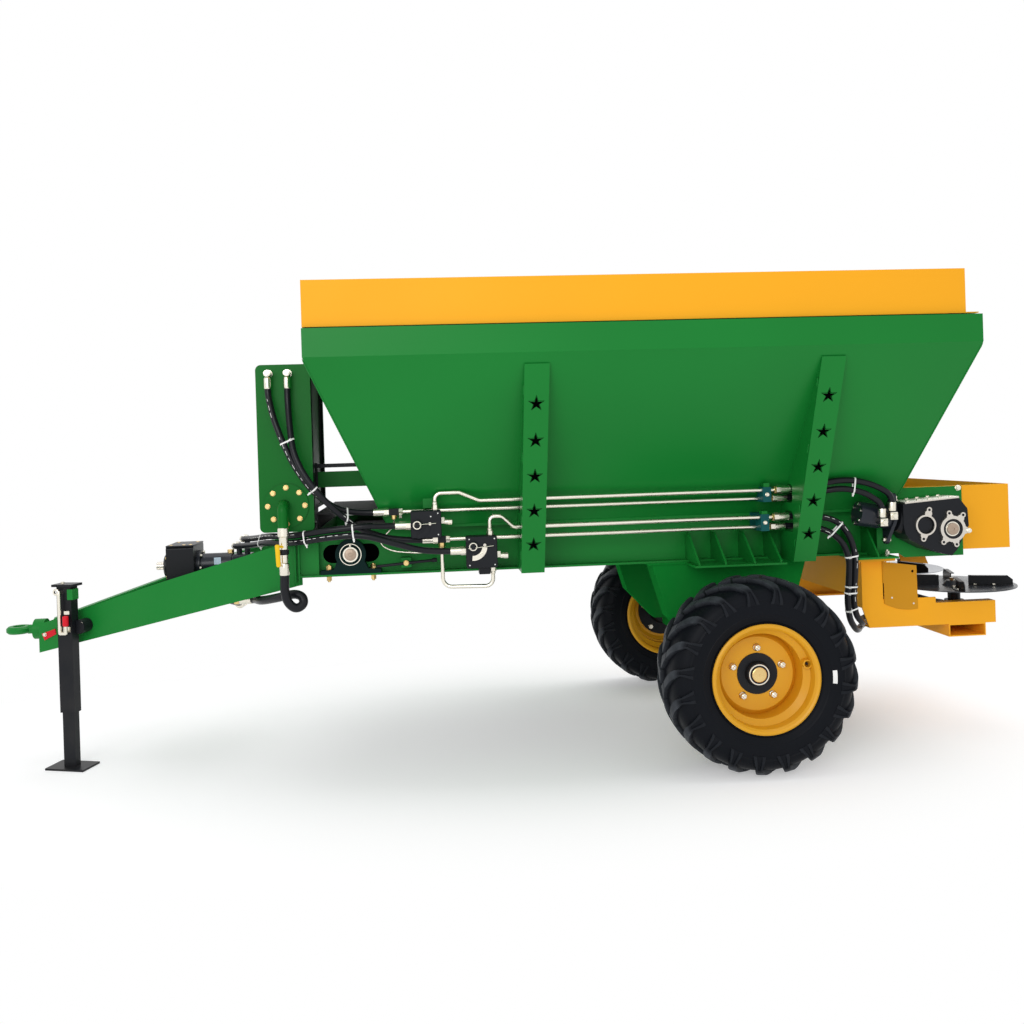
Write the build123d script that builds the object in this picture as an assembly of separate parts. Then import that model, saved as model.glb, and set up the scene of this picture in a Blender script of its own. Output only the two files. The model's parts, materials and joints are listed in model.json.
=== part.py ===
from build123d import *
import os
from math import atan, cos, degrees, hypot, radians, sin, tan

# Manure spreader: a towed hopper on one axle, with a belt floor and two spinning discs.
# Millimetres. +X is rearward, +Y is the machine's right-hand side, +Z is up, and z = 0 is the ground.
# Stations along X are measured from the axle; save() moves the whole machine so that
# the origin is under the middle of its length.

os.makedirs("parts", exist_ok=True)

# ---------------------------------------------------------------- driving dimensions
SHEET = 4.0                # hopper, hood and extension sheet
RUNNING = 0.05             # radial clearance of a shaft in its bore
SEAT = 0.3                 # gap between a sliding or loosely held piece and its seat

# wheels and axle
TRACK = 1450.0             # between the wheels' centre planes
TYRE_RADIUS = 380.0
TYRE_WIDTH = 264.0
RIM_WIDTH = 254.0          # over the flanges
RIM_RADIUS = 211.0         # flange tip
WELL_RADIUS = 170.0        # drop centre
HUB_PILOT = 80.0
SPINDLE_RADIUS = 25.0
AXLE_BAR = 70.0            # square axle bar
AXLE_REACH = 560.0         # half length of the square bar

# chassis
FRAME_HALF = 450.0         # outer edge of the beam flanges
FLANGE = 50.0              # flange width
BEAM_WALL = 6.0
BEAM_BOTTOM = 788.0
BEAM_TOP = 980.0
BEAM_FRONT = -1780.0
BEAM_REAR = 720.0
WEB = FRAME_HALF - FLANGE  # outer face of the web

# hopper
HOPPER_HALF = 948.0        # half width at the rim
HOPPER_FRONT = -1687.0     # rim front and rear
HOPPER_REAR = 833.0
RIM_BOTTOM = 1631.0
RIM_HEIGHT = 103.5
HOPPER_FOOT = 446.73       # half width where the side walls meet the beams
FRONT_LEAN = 0.415
REAR_LEAN = 0.19
RIM_FLANGE = 60.0          # flat flange on top of the rim
SKIRT = 70.0               # inward ledge under the side walls
GASKET = 6.0
BOARD_HALF = 928.0         # extension boards
BOARD_REAR = 780.0
BOARD_HEIGHT = 168.0
BOARD_FLANGE = 50.0

# conveyor
BELT_HALF = 390.0
BELT_THICK = 8.0
ROLLER_RADIUS = 70.0
ROLLER_SHAFT = 25.0
FRONT_ROLLER = (-1575.0, 875.0)     # x, z
REAR_ROLLER = (896.0, 897.0)

# drawbar
NOSE = -2950.0             # front of the drawbar plates
NOSE_HALF = 90.0           # outer face of each plate at the nose
KNEE = -1800.0             # where the plates turn parallel
KNEE_HALF = 435.0
BAR_PLATE = 8.0
BAR_FLANGE = 50.0
BAR_TAIL = BEAM_FRONT + 76  # end of the drawbar inside the beams

# jack
JACK_STATION = -2766.0     # on the left plate
JACK_TUBE = (68.0, 44.0)   # along the plate, square to it
JACK_LEG = (56.0, 32.0)
JACK_WALL = 5.0
JACK_PIVOT = 590.0
JACK_GAP = 42.0            # between the plate and the jack tube
JACK_BEHIND = 44.0         # swivel axis behind the middle of the tube
JACK_BOTTOM = 234.0
JACK_TOP = 765.0
JACK_TRAVEL = 200.0

# spinners
DISC_X = 1070.0
DISC_Y = 290.0
DISC_RADIUS = 250.0
DISC_Z = 611.0
ARM_BOTTOM = 475.0
ARM_TOP = 569.0
ARM_REAR = 1161.0

# tow eye
EYE_HOLE = 25.0            # radius of the hole
EYE_RADIUS = 52.0
EYE_THICK = 30.0
EYE_CENTRE = (-3068.0, 555.0)       # x, z

AXLE_X = -(EYE_CENTRE[0] - EYE_RADIUS + DISC_X + DISC_RADIUS) / 2


# ---------------------------------------------------------------- helpers
def save(name, *pieces):
    """Writes one sub-part, moved from axle stations to the machine's own frame."""
    placed = [Pos(AXLE_X, 0, 0) * piece for piece in pieces]
    solids = [solid for piece in placed for solid in piece.solids()]
    export_step(Compound(children=solids), f"parts/{name}.step")


def block(x, y, z):
    """A box from its (low, high) ranges."""
    middle = Pos((x[0] + x[1]) / 2, (y[0] + y[1]) / 2, (z[0] + z[1]) / 2)
    return middle * Box(x[1] - x[0], y[1] - y[0], z[1] - z[0])


def side_plate(outline, y):
    """An outline of (x, z) corners, as thick as the range y."""
    face = make_face(Plane.XZ * Polyline(*outline, close=True))
    return Pos(0, y[0], 0) * extrude(face, y[1] - y[0], dir=(0, 1, 0))


def end_plate(outline, x):
    """An outline of (y, z) corners, as thick as the range x."""
    face = make_face(Plane.YZ * Polyline(*outline, close=True))
    return Pos(x[0], 0, 0) * extrude(face, x[1] - x[0], dir=(1, 0, 0))


def floor_plate(outline, z):
    """An outline of (x, y) corners, as thick as the range z."""
    face = make_face(Plane.XY * Polyline(*outline, close=True))
    return Pos(0, 0, z[0]) * extrude(face, z[1] - z[0], dir=(0, 0, 1))


def rod(start, end, radius):
    run = Vector(end) - Vector(start)
    return extrude(Plane(start, z_dir=run) * Circle(radius), run.length)


def turned(outline, centre, direction):
    """A turned piece: (distance along the axis, radius) corners, spun about the axis."""
    along = Vector(direction)
    across = Vector(0, 0, 1) if abs(along.Z) < 0.5 else Vector(1, 0, 0)
    plane = Plane(centre, x_dir=along, z_dir=along.cross(across))
    face = make_face(plane * Polyline(*outline, close=True))
    return revolve(face, Axis(centre, along), 360)


def other_side(piece):
    return mirror(piece, about=Plane.XZ)


def pipe(points, diameter, bend=None):
    """A round tube along straight runs with tangent arcs: all of one bend radius, or, for a
    hose, each arc as large as its two runs allow."""
    runs = [Vector(b) - Vector(a) for a, b in zip(points, points[1:])]
    radii = []
    for before, after in zip(runs, runs[1:]):
        turn = radians(before.get_angle(after))
        largest = 0.45 * min(before.length, after.length) / tan(turn / 2)
        radii.append(min(bend, largest) if bend else largest)
    path = FilletPolyline(*points, radius=radii) if radii else Line(*points)
    return sweep(Plane(path @ 0, z_dir=path % 0) * Circle(diameter / 2), path)


# ---------------------------------------------------------------- wheels
RIM_SEAT = RIM_RADIUS - 15      # bead seat
RIM_STEEL = 6.0
RIM_STEPS = [                   # distance from the centre plane, tyre side radius, air side radius
    (RIM_WIDTH / 2, RIM_RADIUS - 6, RIM_RADIUS - 7),
    (RIM_WIDTH / 2 - 4, RIM_RADIUS, RIM_RADIUS - 14),
    (RIM_WIDTH / 2 - 12, RIM_RADIUS, RIM_SEAT - RIM_STEEL),
    (RIM_WIDTH / 2 - 16, RIM_SEAT, RIM_SEAT - RIM_STEEL - 1),
    (RIM_WIDTH / 2 - 48, RIM_SEAT - 3, RIM_SEAT - 3 - RIM_STEEL),
    (RIM_WIDTH / 2 - 66, WELL_RADIUS, WELL_RADIUS - RIM_STEEL),
]
DISC_FACE = 14.0                # outboard face of the wheel disc
DISC_STEEL = 8.0


def wheel_axis(side):
    return (0, side * TRACK / 2, TYRE_RADIUS), (0, side, 0)


def tyre(side):
    """A hollow carcass, open between its beads."""
    half = TYRE_WIDTH / 2
    bead = RIM_WIDTH / 2 - 16
    section = TYRE_RADIUS - RIM_RADIUS
    outer = [(bead, RIM_SEAT - RIM_RADIUS), (bead, 4), (half - 3, 0.20 * section),
             (half, 0.44 * section), (half - 6, 0.70 * section), (half - 22, 0.87 * section),
             (half - 60, 0.97 * section), (40, section)]
    inner = [(bead - 16, RIM_SEAT - RIM_RADIUS), (bead - 18, 10), (half - 20, 0.225 * section),
             (half - 20, 0.44 * section), (half - 30, 0.63 * section), (half - 66, 0.775 * section)]
    outer, inner = ([(a, RIM_RADIUS + rise) for a, rise in wall] for wall in (outer, inner))
    outline = outer + [(-a, r) for a, r in reversed(outer)]
    outline += [(-a, r) for a, r in inner] + list(reversed(inner))
    return turned(outline, *wheel_axis(side))


def rim(side):
    """A drop-centre rim with its dished disc welded in the well."""
    tyre_side = [(a, r) for a, r, _ in RIM_STEPS] + [(-a, r) for a, r, _ in reversed(RIM_STEPS)]
    air_side = [(-a, r) for a, _, r in RIM_STEPS] + [(a, r) for a, _, r in reversed(RIM_STEPS)]
    barrel = turned(tyre_side + air_side, *wheel_axis(side))
    well = WELL_RADIUS - RIM_STEEL
    bore = HUB_PILOT + SEAT
    face, back, flat = DISC_FACE, DISC_FACE - DISC_STEEL, well - 21
    dish = [(face, bore), (face, flat), (face - 22, well), (face - 38, well),
            (face - 38, well - DISC_STEEL), (back - 16, well - DISC_STEEL), (back, flat - 5),
            (back, bore)]
    return barrel + turned(dish, *wheel_axis(side))


def hub(side):
    """Hub with its flange behind the disc, pilot, barrel and cap, bored for the spindle."""
    back = DISC_FACE - DISC_STEEL
    bore = SPINDLE_RADIUS + RUNNING
    outline = [(-60, bore), (-60, 52), (back - 34, 62), (back - 14, 66), (back - 14, 124), (back, 124),
               (back, HUB_PILOT), (DISC_FACE + 3, HUB_PILOT), (DISC_FACE + 3, 50), (36, 45), (36, 40),
               (39, 40), (39, 29), (43, 26), (43, 0), (30, 0), (30, bore)]
    return turned(outline, *wheel_axis(side))


STAND_EDGE = FRAME_HALF + 4     # outer edge of the pad on top of each axle stand


def axle():
    """Square bar with its spindles, and a tapered box stand up to each beam."""
    half = AXLE_BAR / 2
    height = (TYRE_RADIUS - half, TYRE_RADIUS + half)
    bar = block((-half, half), (-AXLE_REACH, AXLE_REACH), height)
    spindle_end = TRACK / 2 + 29
    bar += rod((0, -spindle_end, TYRE_RADIUS), (0, spindle_end, TYRE_RADIUS), SPINDLE_RADIUS)
    top, knee, foot = 330.0, 265.0, 133.0
    knee_height, pad = 557.0, 8.0
    outline = [(-top, BEAM_BOTTOM - pad), (-knee, knee_height), (-foot, height[1]),
               (foot, height[1]), (knee, knee_height), (top, BEAM_BOTTOM - pad)]
    wall = 8.0
    inside = [(-top + wall, BEAM_BOTTOM), (-knee + wall, knee_height + 3), (-foot + 3, height[1] + wall),
              (foot - 3, height[1] + wall), (knee - wall, knee_height + 3), (top - wall, BEAM_BOTTOM)]
    y = (FRAME_HALF - 112, FRAME_HALF - 2)
    stand = side_plate(outline, y) - side_plate(inside, (y[0] + wall, y[1] - wall))
    stand += (block((-top - 20, top + 20), (y[0], STAND_EDGE), (BEAM_BOTTOM - pad, BEAM_BOTTOM))
              - block((-top + 30, top - 30), (y[0] + 20, y[1] - 20), (BEAM_BOTTOM - pad, BEAM_BOTTOM)))
    return bar + stand + other_side(stand)


# ---------------------------------------------------------------- chassis
SLOT_LENGTH, SLOT_HEIGHT = 230.0, 76.0     # take-up slot of the front roller


def beam(side):
    """Channel with its flanges outward, and a slot for the front roller's shaft."""
    flange = 8.0
    outline = [(FRAME_HALF, BEAM_BOTTOM), (FRAME_HALF, BEAM_BOTTOM + flange), (WEB, BEAM_BOTTOM + flange),
               (WEB, BEAM_TOP - flange), (FRAME_HALF, BEAM_TOP - flange), (FRAME_HALF, BEAM_TOP),
               (WEB - BEAM_WALL, BEAM_TOP), (WEB - BEAM_WALL, BEAM_BOTTOM)]
    channel = end_plate(outline, (BEAM_FRONT, BEAM_REAR))
    slot = extrude(Plane.XZ * Pos(*FRONT_ROLLER) * SlotOverall(SLOT_LENGTH, SLOT_HEIGHT),
                   FRAME_HALF, dir=(0, 1, 0))
    channel -= slot
    return channel if side > 0 else other_side(channel)


def rear_plate(side):
    """Plate on the rear of each beam that carries the drive roller and the hood."""
    step = HOPPER_REAR - REAR_LEAN * (RIM_BOTTOM - BEAM_TOP) + 26
    outline = [(640, BEAM_BOTTOM), (640, BEAM_TOP), (step, BEAM_TOP), (step, 1065), (1020, 1065),
               (1020, 770), (760, 770), (step, BEAM_BOTTOM)]
    plate = side_plate(outline, (FRAME_HALF, FRAME_HALF + 8))
    plate -= rod((REAR_ROLLER[0], 0, REAR_ROLLER[1]), (REAR_ROLLER[0], 600, REAR_ROLLER[1]),
                 ROLLER_SHAFT + SEAT)
    return plate if side > 0 else other_side(plate)


def belt_height(x, drop):
    """Height of the belt's upper run at a station, less a drop below its upper face."""
    (x0, z0), (x1, z1) = FRONT_ROLLER, REAR_ROLLER
    return z0 + (z1 - z0) * (x - x0) / (x1 - x0) + ROLLER_RADIUS + BELT_THICK - drop


def conveyor_bed():
    """Slider plate under the upper run, on ribs and cross tubes between the beams."""
    inside = WEB - BEAM_WALL
    front, rear = -1475.0, 820.0
    drop = BELT_THICK + SEAT
    plate = side_plate([(front, belt_height(front, drop)), (rear, belt_height(rear, drop)),
                        (rear, belt_height(rear, drop + 4)), (front, belt_height(front, drop + 4))],
                       (-BELT_HALF + 5, BELT_HALF - 5))
    tube_bottom, tube_top = 850.0, 900.0
    for y in (-250, 0, 250):
        plate += side_plate([(front + 200, tube_top), (rear - 200, tube_top),
                             (rear - 200, belt_height(rear - 200, drop + 2)),
                             (front + 200, belt_height(front + 200, drop + 2))], (y - 3, y + 3))
    for x in (-1200, -600, 0, 580):
        tube = block((x - 25, x + 25), (-inside, inside), (tube_bottom, tube_top))
        plate += tube - block((x - 21, x + 21), (-inside, inside), (tube_bottom + 4, tube_top - 4))
    return plate


def front_crossmember():
    """Closes the front of the frame ahead of the belt and carries the tank."""
    inside = WEB - BEAM_WALL
    x = (BEAM_FRONT, BEAM_FRONT + 80)
    outer = block(x, (-inside, inside), (BEAM_TOP - 100, BEAM_TOP))
    return outer - block((x[0] + 5, x[1] - 5), (-inside, inside), (BEAM_TOP - 95, BEAM_TOP - 5))


def outrigger(centre, half, ribs, rib_top, inner, reach):
    """Shelf on the outside of a beam, with ribs standing on it."""
    plate = block((centre - half, centre + half), (inner, reach),
                  (BEAM_BOTTOM - 8, BEAM_BOTTOM))
    lip = BEAM_BOTTOM + 8
    for x in ribs:
        plate += end_plate([(WEB, lip), (WEB, rib_top), (FRAME_HALF, rib_top), (reach - 12, lip),
                            (reach - 12, BEAM_BOTTOM), (FRAME_HALF, BEAM_BOTTOM), (FRAME_HALF, lip)],
                           (x - 4, x + 4))
    return plate


# ---------------------------------------------------------------- hopper
SIDE_LEAN = (HOPPER_HALF - HOPPER_FOOT) / (RIM_BOTTOM - BEAM_TOP)    # inward run for each unit of drop


def side_at(z):
    """Half width of the hopper's outer face at a height."""
    return HOPPER_HALF - SIDE_LEAN * (RIM_BOTTOM - z)


def front_at(z):
    return HOPPER_FRONT + FRONT_LEAN * (RIM_BOTTOM - z)


def rear_at(z):
    return HOPPER_REAR - REAR_LEAN * (RIM_BOTTOM - z)


SIDE_WALL = SHEET * hypot(1, SIDE_LEAN)     # sheet measured level, along Y or X
FRONT_WALL = SHEET * hypot(1, FRONT_LEAN)
REAR_WALL = SHEET * hypot(1, REAR_LEAN)


def hopper_side(side):
    """Sloping side with a level skirt ledge over the edge of the belt."""
    low, high = BEAM_TOP, RIM_BOTTOM
    outline = [(side_at(low), low), (side_at(high), high), (side_at(high) - SIDE_WALL, high),
               (side_at(low + SHEET) - SIDE_WALL, low + SHEET), (side_at(low) - SKIRT, low + SHEET),
               (side_at(low) - SKIRT, low)]
    length = (HOPPER_FRONT - 10, HOPPER_REAR + 10)
    cut = side_plate([(front_at(low), low), (front_at(high), high), (rear_at(high), high),
                      (rear_at(low), low)], (0, HOPPER_HALF + 10))
    wall = end_plate(outline, length) & cut
    return wall if side > 0 else other_side(wall)


def between_sides(high=None):
    """The space between the side walls, from the skirts up."""
    low, high = BEAM_TOP + SHEET, high or RIM_BOTTOM
    outline = [(side_at(low) - SIDE_WALL, low), (side_at(high) - SIDE_WALL, high)]
    outline += [(-y, z) for y, z in reversed(outline)]
    return end_plate(outline, (HOPPER_FRONT - 10, HOPPER_REAR + 10))


def hopper_front():
    low, high = BEAM_TOP, RIM_BOTTOM
    outline = [(front_at(low), low), (front_at(high), high), (front_at(high) + FRONT_WALL, high),
               (front_at(low) + FRONT_WALL, low)]
    return side_plate(outline, (-HOPPER_HALF, HOPPER_HALF)) & between_sides()


# The gate slides up the outside of the rear wall, in a plane that leans with the wall.
GATE_PLANE = Plane((rear_at(BEAM_TOP), 0, BEAM_TOP), x_dir=(0, 1, 0), z_dir=(1, 0, -REAR_LEAN))
GATE_HALF = 370.0
GATE_HEIGHT = 230.0
GATE_RAISED = 90.0         # how far the gate stands open at rest
GATE_PLATE = 6.0
GATE_GAP = 1.0
WINDOW_HALF = 350.0
WINDOW_HEIGHT = 200.0
GUIDE_HEIGHT = 470.0


def on_gate_plane(x, y, z):
    """A box from ranges across, up and out of the gate's plane."""
    return GATE_PLANE * block(x, y, z)


def hopper_rear():
    """Rear wall with the discharge window and a pair of folded gate guides."""
    low, high = BEAM_TOP, RIM_BOTTOM
    outline = [(rear_at(low), low), (rear_at(high), high), (rear_at(high) - REAR_WALL, high),
               (rear_at(low) - REAR_WALL, low)]
    wall = side_plate(outline, (-HOPPER_HALF, HOPPER_HALF)) & between_sides()
    wall -= on_gate_plane((-WINDOW_HALF, WINDOW_HALF), (-20, WINDOW_HEIGHT), (-30, 30))
    lip = GATE_GAP + GATE_PLATE + SEAT
    for side in (-1, 1):
        post = sorted((side * (GATE_HALF + 1), side * (GATE_HALF + 21)))
        cover = sorted((side * (GATE_HALF - 14), side * (GATE_HALF + 21)))
        wall += on_gate_plane(post, (6, GUIDE_HEIGHT), (-1, lip))
        wall += on_gate_plane(cover, (6, GUIDE_HEIGHT), (lip, lip + 5))
    return wall


def metering_gate():
    """Flat gate with a stiffening fold and two lifting lugs."""
    face = (GATE_GAP, GATE_GAP + GATE_PLATE)
    foot, head = 6 + GATE_RAISED, 6 + GATE_RAISED + GATE_HEIGHT
    gate = on_gate_plane((-GATE_HALF, GATE_HALF), (foot, head), face)
    gate += on_gate_plane((-GATE_HALF + 30, GATE_HALF - 30), (head - 46, head - 40), (face[1], face[1] + 30))
    for y in (-150, 150):
        gate += on_gate_plane((y - 4, y + 4), (head - 40, head), (face[1], face[1] + 30))
    return gate


def ring(x, half, z, wall):
    """Four walls of one height round a rectangle."""
    return block(x, (-half, half), z) - block((x[0] + wall, x[1] - wall), (-half + wall, half - wall), z)


def hopper_rim():
    """Folded band round the hopper's mouth, with a level flange on top."""
    top = RIM_BOTTOM + RIM_HEIGHT
    x = (HOPPER_FRONT, HOPPER_REAR)
    band = ring(x, HOPPER_HALF, (RIM_BOTTOM, top), SHEET)
    return band + ring(x, HOPPER_HALF, (top - SHEET, top), RIM_FLANGE)


def rim_gasket():
    top = RIM_BOTTOM + RIM_HEIGHT
    return ring((HOPPER_FRONT + 6, BOARD_REAR - 4), BOARD_HALF - 8, (top, top + GASKET), 24)


def hopper_extension():
    """Boards round the mouth: a foot flange, a folded top edge and a ledge behind."""
    low = RIM_BOTTOM + RIM_HEIGHT + GASKET
    high = low + BOARD_HEIGHT
    x = (HOPPER_FRONT, BOARD_REAR)
    boards = ring(x, BOARD_HALF, (low, high), SHEET)
    boards += ring(x, BOARD_HALF, (low, low + SHEET), 30)
    boards += ring(x, BOARD_HALF, (high - SHEET, high), 25)
    boards += block((BOARD_REAR - 1, BOARD_REAR + BOARD_FLANGE), (-BOARD_HALF, BOARD_HALF),
                    (low, low + SHEET))
    return boards


# Star posts: a leaning strip with two web plates back to the hopper and the beam.
POST_STATIONS = [-847.0, 267.0]
POST_WIDTH = 93.0
POST_STEEL = 5.0
POST_TOP = 1591.0
POST_FOOT = 590.0          # half width to the strip's outer face at the bottom of the beam
PIPE_WINDOWS = [(543.0, 1065.0, 92.0, 76.0), (545.0, 951.0, 92.0, 84.0)]   # y, z, width, height
STAR_TOP = 1449.0
STAR_PITCH = 136.0
STAR_COUNT = 5
STAR_RADIUS = 28.0
STAR_WAIST = 0.382         # inner radius of a five-pointed star for an outer radius of one


def star_post(station):
    lean = (side_at(POST_TOP) - POST_FOOT + POST_STEEL + 1) / (POST_TOP - BEAM_BOTTOM)
    level = POST_STEEL * hypot(1, lean)
    foot, head = POST_FOOT - level, POST_FOOT - level + lean * (POST_TOP - BEAM_BOTTOM)
    strip = [(foot, BEAM_BOTTOM), (foot + level, BEAM_BOTTOM), (head + level, POST_TOP), (head, POST_TOP)]
    web = [(foot, BEAM_BOTTOM), (head, POST_TOP), (side_at(POST_TOP), POST_TOP),
           (side_at(BEAM_TOP), BEAM_TOP), (FRAME_HALF, BEAM_TOP), (FRAME_HALF, BEAM_BOTTOM)]
    half = POST_WIDTH / 2
    post = end_plate(strip, (station - half, station + half))
    for x in (station - half + 3, station + half - 3 - POST_STEEL):
        plate = end_plate(web, (x, x + POST_STEEL))
        for y, z, width, height in PIPE_WINDOWS:
            window = Plane.YZ * Pos(y, z) * RectangleRounded(width, height, 20)
            plate -= Pos(x, 0, 0) * extrude(window, POST_STEEL, dir=(1, 0, 0))
        post += plate
    points = [(STAR_RADIUS * (STAR_WAIST if i % 2 else 1) * sin(radians(36 * i)),
               STAR_RADIUS * (STAR_WAIST if i % 2 else 1) * cos(radians(36 * i))) for i in range(10)]
    star = make_face(Polyline(*points, close=True))
    slope = Plane((station, foot, BEAM_BOTTOM), x_dir=(-1, 0, 0), z_dir=(0, 1, -lean))
    for i in range(STAR_COUNT):
        up = (STAR_TOP - STAR_PITCH * i - BEAM_BOTTOM) * hypot(1, lean)
        post -= extrude(slope * Pos(0, up, -5) * star, 20, dir=(0, 1, -lean))
    return post


# ---------------------------------------------------------------- drawbar
FLARE = (KNEE_HALF - NOSE_HALF) / (KNEE - NOSE)      # outward run for each unit of length
FLARE_COS = 1 / hypot(1, FLARE)
BAR_PLANE = Plane((NOSE, NOSE_HALF, 0), x_dir=(1, FLARE, 0), z_dir=(FLARE, -1, 0))    # right plate
BAR_LOWER = [(NOSE, 466.0), (KNEE, 752.0)]           # x, z along the lower edge
BAR_UPPER = [(NOSE, 588.0), (-2430.0, 756.0), (-1890.0, 914.0), (KNEE, 925.0)]


def drawbar_side(side):
    """Tapered channel: a leaning plate, its edges folded inward, then parallel in the beam."""
    wall = BAR_PLATE
    stretch = hypot(1, FLARE)
    outline = [((x - NOSE) * stretch, z) for x, z in BAR_LOWER + BAR_UPPER[::-1]]
    face = make_face(Polyline(*outline, close=True))
    core = [((x - NOSE) * stretch, z + wall) for x, z in BAR_LOWER]
    core += [((x - NOSE) * stretch, z - wall) for x, z in BAR_UPPER[::-1]]
    inner = make_face(Polyline(*core, close=True))
    channel = extrude(BAR_PLANE * face, BAR_FLANGE)
    channel -= extrude(BAR_PLANE * Pos(0, 0, wall) * inner, BAR_FLANGE)
    top = BAR_UPPER[-1][1]
    tail = block((KNEE, BAR_TAIL), (WEB, KNEE_HALF), (BEAM_BOTTOM + 8, top))
    tail -= block((KNEE, BAR_TAIL), (WEB - 20, KNEE_HALF - wall),
                  (BEAM_BOTTOM + 8 + wall, top - wall))
    channel = channel & block((NOSE, KNEE + 2), (0, 600), (0, 1200))
    bar = channel + tail
    return bar if side > 0 else other_side(bar)


def bar_inside(x):
    """Half gap between the drawbar plates at a station."""
    return NOSE_HALF + FLARE * (x - NOSE) - BAR_PLATE / FLARE_COS


def drawbar_nose():
    """Block that closes the nose, with the collar of the tow eye."""
    x = (NOSE, NOSE + 50)
    z = (490.0, 576.0)
    nose = floor_plate([(x[0], -bar_inside(x[0])), (x[1], -bar_inside(x[1])),
                        (x[1], bar_inside(x[1])), (x[0], bar_inside(x[0]))], z)
    collar = rod((NOSE - 48, 0, EYE_CENTRE[1]), (NOSE, 0, EYE_CENTRE[1]), 44)
    shank = rod((NOSE - 60, 0, EYE_CENTRE[1]), (NOSE + 60, 0, EYE_CENTRE[1]), 20)
    return nose + collar - shank


def pump_shelf():
    """Plate between the drawbar sides that carries the input gearbox."""
    x = (-2440.0, -2190.0)
    return floor_plate([(x[0], -bar_inside(x[0])), (x[1], -bar_inside(x[1])),
                        (x[1], bar_inside(x[1])), (x[0], bar_inside(x[0]))], (705, 715))


def tow_eye():
    """Forged flat ring on a round shank."""
    x, z = EYE_CENTRE
    thick = EYE_THICK / 2
    edge = 8.0
    outline = [(-thick, EYE_HOLE), (-thick, EYE_RADIUS - edge), (-thick + edge, EYE_RADIUS),
               (thick - edge, EYE_RADIUS), (thick, EYE_RADIUS - edge), (thick, EYE_HOLE)]
    eye = turned(outline, (x, 0, z), (0, 0, 1))
    shank = rod((x + EYE_RADIUS - 12, 0, z), (NOSE + 60, 0, z), 20 - RUNNING)
    return eye + shank


# ---------------------------------------------------------------- jack
BAR_ANGLE = atan(FLARE)
JACK_OUT = Vector(-sin(BAR_ANGLE), -cos(BAR_ANGLE), 0)       # square to the left plate, outward
JACK_ALONG = Vector(cos(BAR_ANGLE), -sin(BAR_ANGLE), 0)      # rearward along the plate
JACK_SEAT = Vector(JACK_STATION, -(NOSE_HALF + FLARE * (JACK_STATION - NOSE)), 0)
JACK_CENTRE = JACK_SEAT + JACK_OUT * (JACK_GAP + JACK_TUBE[1] / 2)
JACK_FRAME = Plane((JACK_CENTRE.X, JACK_CENTRE.Y, 0), x_dir=JACK_ALONG, z_dir=(0, 0, 1))
SWIVEL = JACK_SEAT + JACK_ALONG * JACK_BEHIND + Vector(0, 0, JACK_PIVOT)
SWIVEL_SLEEVE = 56.0       # how far the swivel's sleeve reaches from the plate
STUB_REACH = JACK_GAP + 2  # the stub ends inside the wall of the jack's tube
STUB_RADIUS = 20.0


def oblong(size, less, z):
    """An upright bar of the (long, short) size less a margin all round."""
    return block((less - size[0] / 2, size[0] / 2 - less), (less - size[1] / 2, size[1] / 2 - less), z)


def jack_stub():
    """Pivot stub on the left drawbar plate."""
    return rod(SWIVEL, SWIVEL + JACK_OUT * STUB_REACH, STUB_RADIUS)


def jack_post():
    """Outer tube with a guide ring at its foot, a cap, and the sleeve of the swivel."""
    z = (JACK_BOTTOM, JACK_TOP)
    tube = oblong(JACK_TUBE, 0, z)
    hollow = oblong(JACK_TUBE, JACK_WALL, (z[0], z[1] - 6))
    ring = (JACK_BOTTOM, JACK_BOTTOM + 12)
    guide = oblong(JACK_TUBE, 1, ring) - oblong(JACK_LEG, -SEAT, ring)
    cap = oblong(JACK_TUBE, -14, (JACK_TOP, JACK_TOP + 10))
    sleeve = rod(SWIVEL + JACK_OUT * 2, SWIVEL + JACK_OUT * SWIVEL_SLEEVE, 30) - JACK_FRAME * tube
    post = JACK_FRAME * (tube - hollow + guide + cap) + sleeve
    return post - rod(SWIVEL, SWIVEL + JACK_OUT * (STUB_REACH + 1), STUB_RADIUS + RUNNING)


def jack_leg():
    """Inner leg with a guide collar at its top and a foot plate."""
    top = JACK_TOP - 6 - JACK_TRAVEL - 6
    wall = 4.0
    leg = oblong(JACK_LEG, 0, (8, top)) - oblong(JACK_LEG, wall, (8, top))
    leg += (oblong(JACK_TUBE, JACK_WALL + SEAT, (top - 20, top)) - oblong(JACK_LEG, wall, (top - 20, top)))
    leg += block((-90, 90), (-57, 57), (0, 8))
    return JACK_FRAME * leg


CRANK_FACE = -JACK_TUBE[1] / 2      # the jack's front face, in the jack's own frame
CRANK_X = -22.0
CRANK_OUT = CRANK_FACE - 16


def jack_crank():
    """Cranked handle folded down the front of the tube, with its carrying eye."""
    bar = pipe([(CRANK_X, CRANK_FACE, 742), (CRANK_X, CRANK_OUT, 742), (CRANK_X, CRANK_OUT, 572),
                (CRANK_X + 28, CRANK_OUT, 572), (CRANK_X + 28, CRANK_OUT, 600)], 11, bend=9)
    eye = turned([(-4, 8), (-4, 15), (4, 15), (4, 8)], (CRANK_X - 13, CRANK_FACE - 16, 742), (0, 1, 0))
    return JACK_FRAME * (bar + eye)


def crank_grip():
    x = CRANK_X + 28
    return JACK_FRAME * rod((x, CRANK_OUT, 600), (x, CRANK_OUT, 646), 12)


def jack_block():
    """Painted lug round the rear edge of the tube, under the cap."""
    lug = block((20, 46), (CRANK_FACE - 6, 12), (710, 754))
    return JACK_FRAME * (lug - oblong(JACK_TUBE, 0, (700, 760)))


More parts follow.
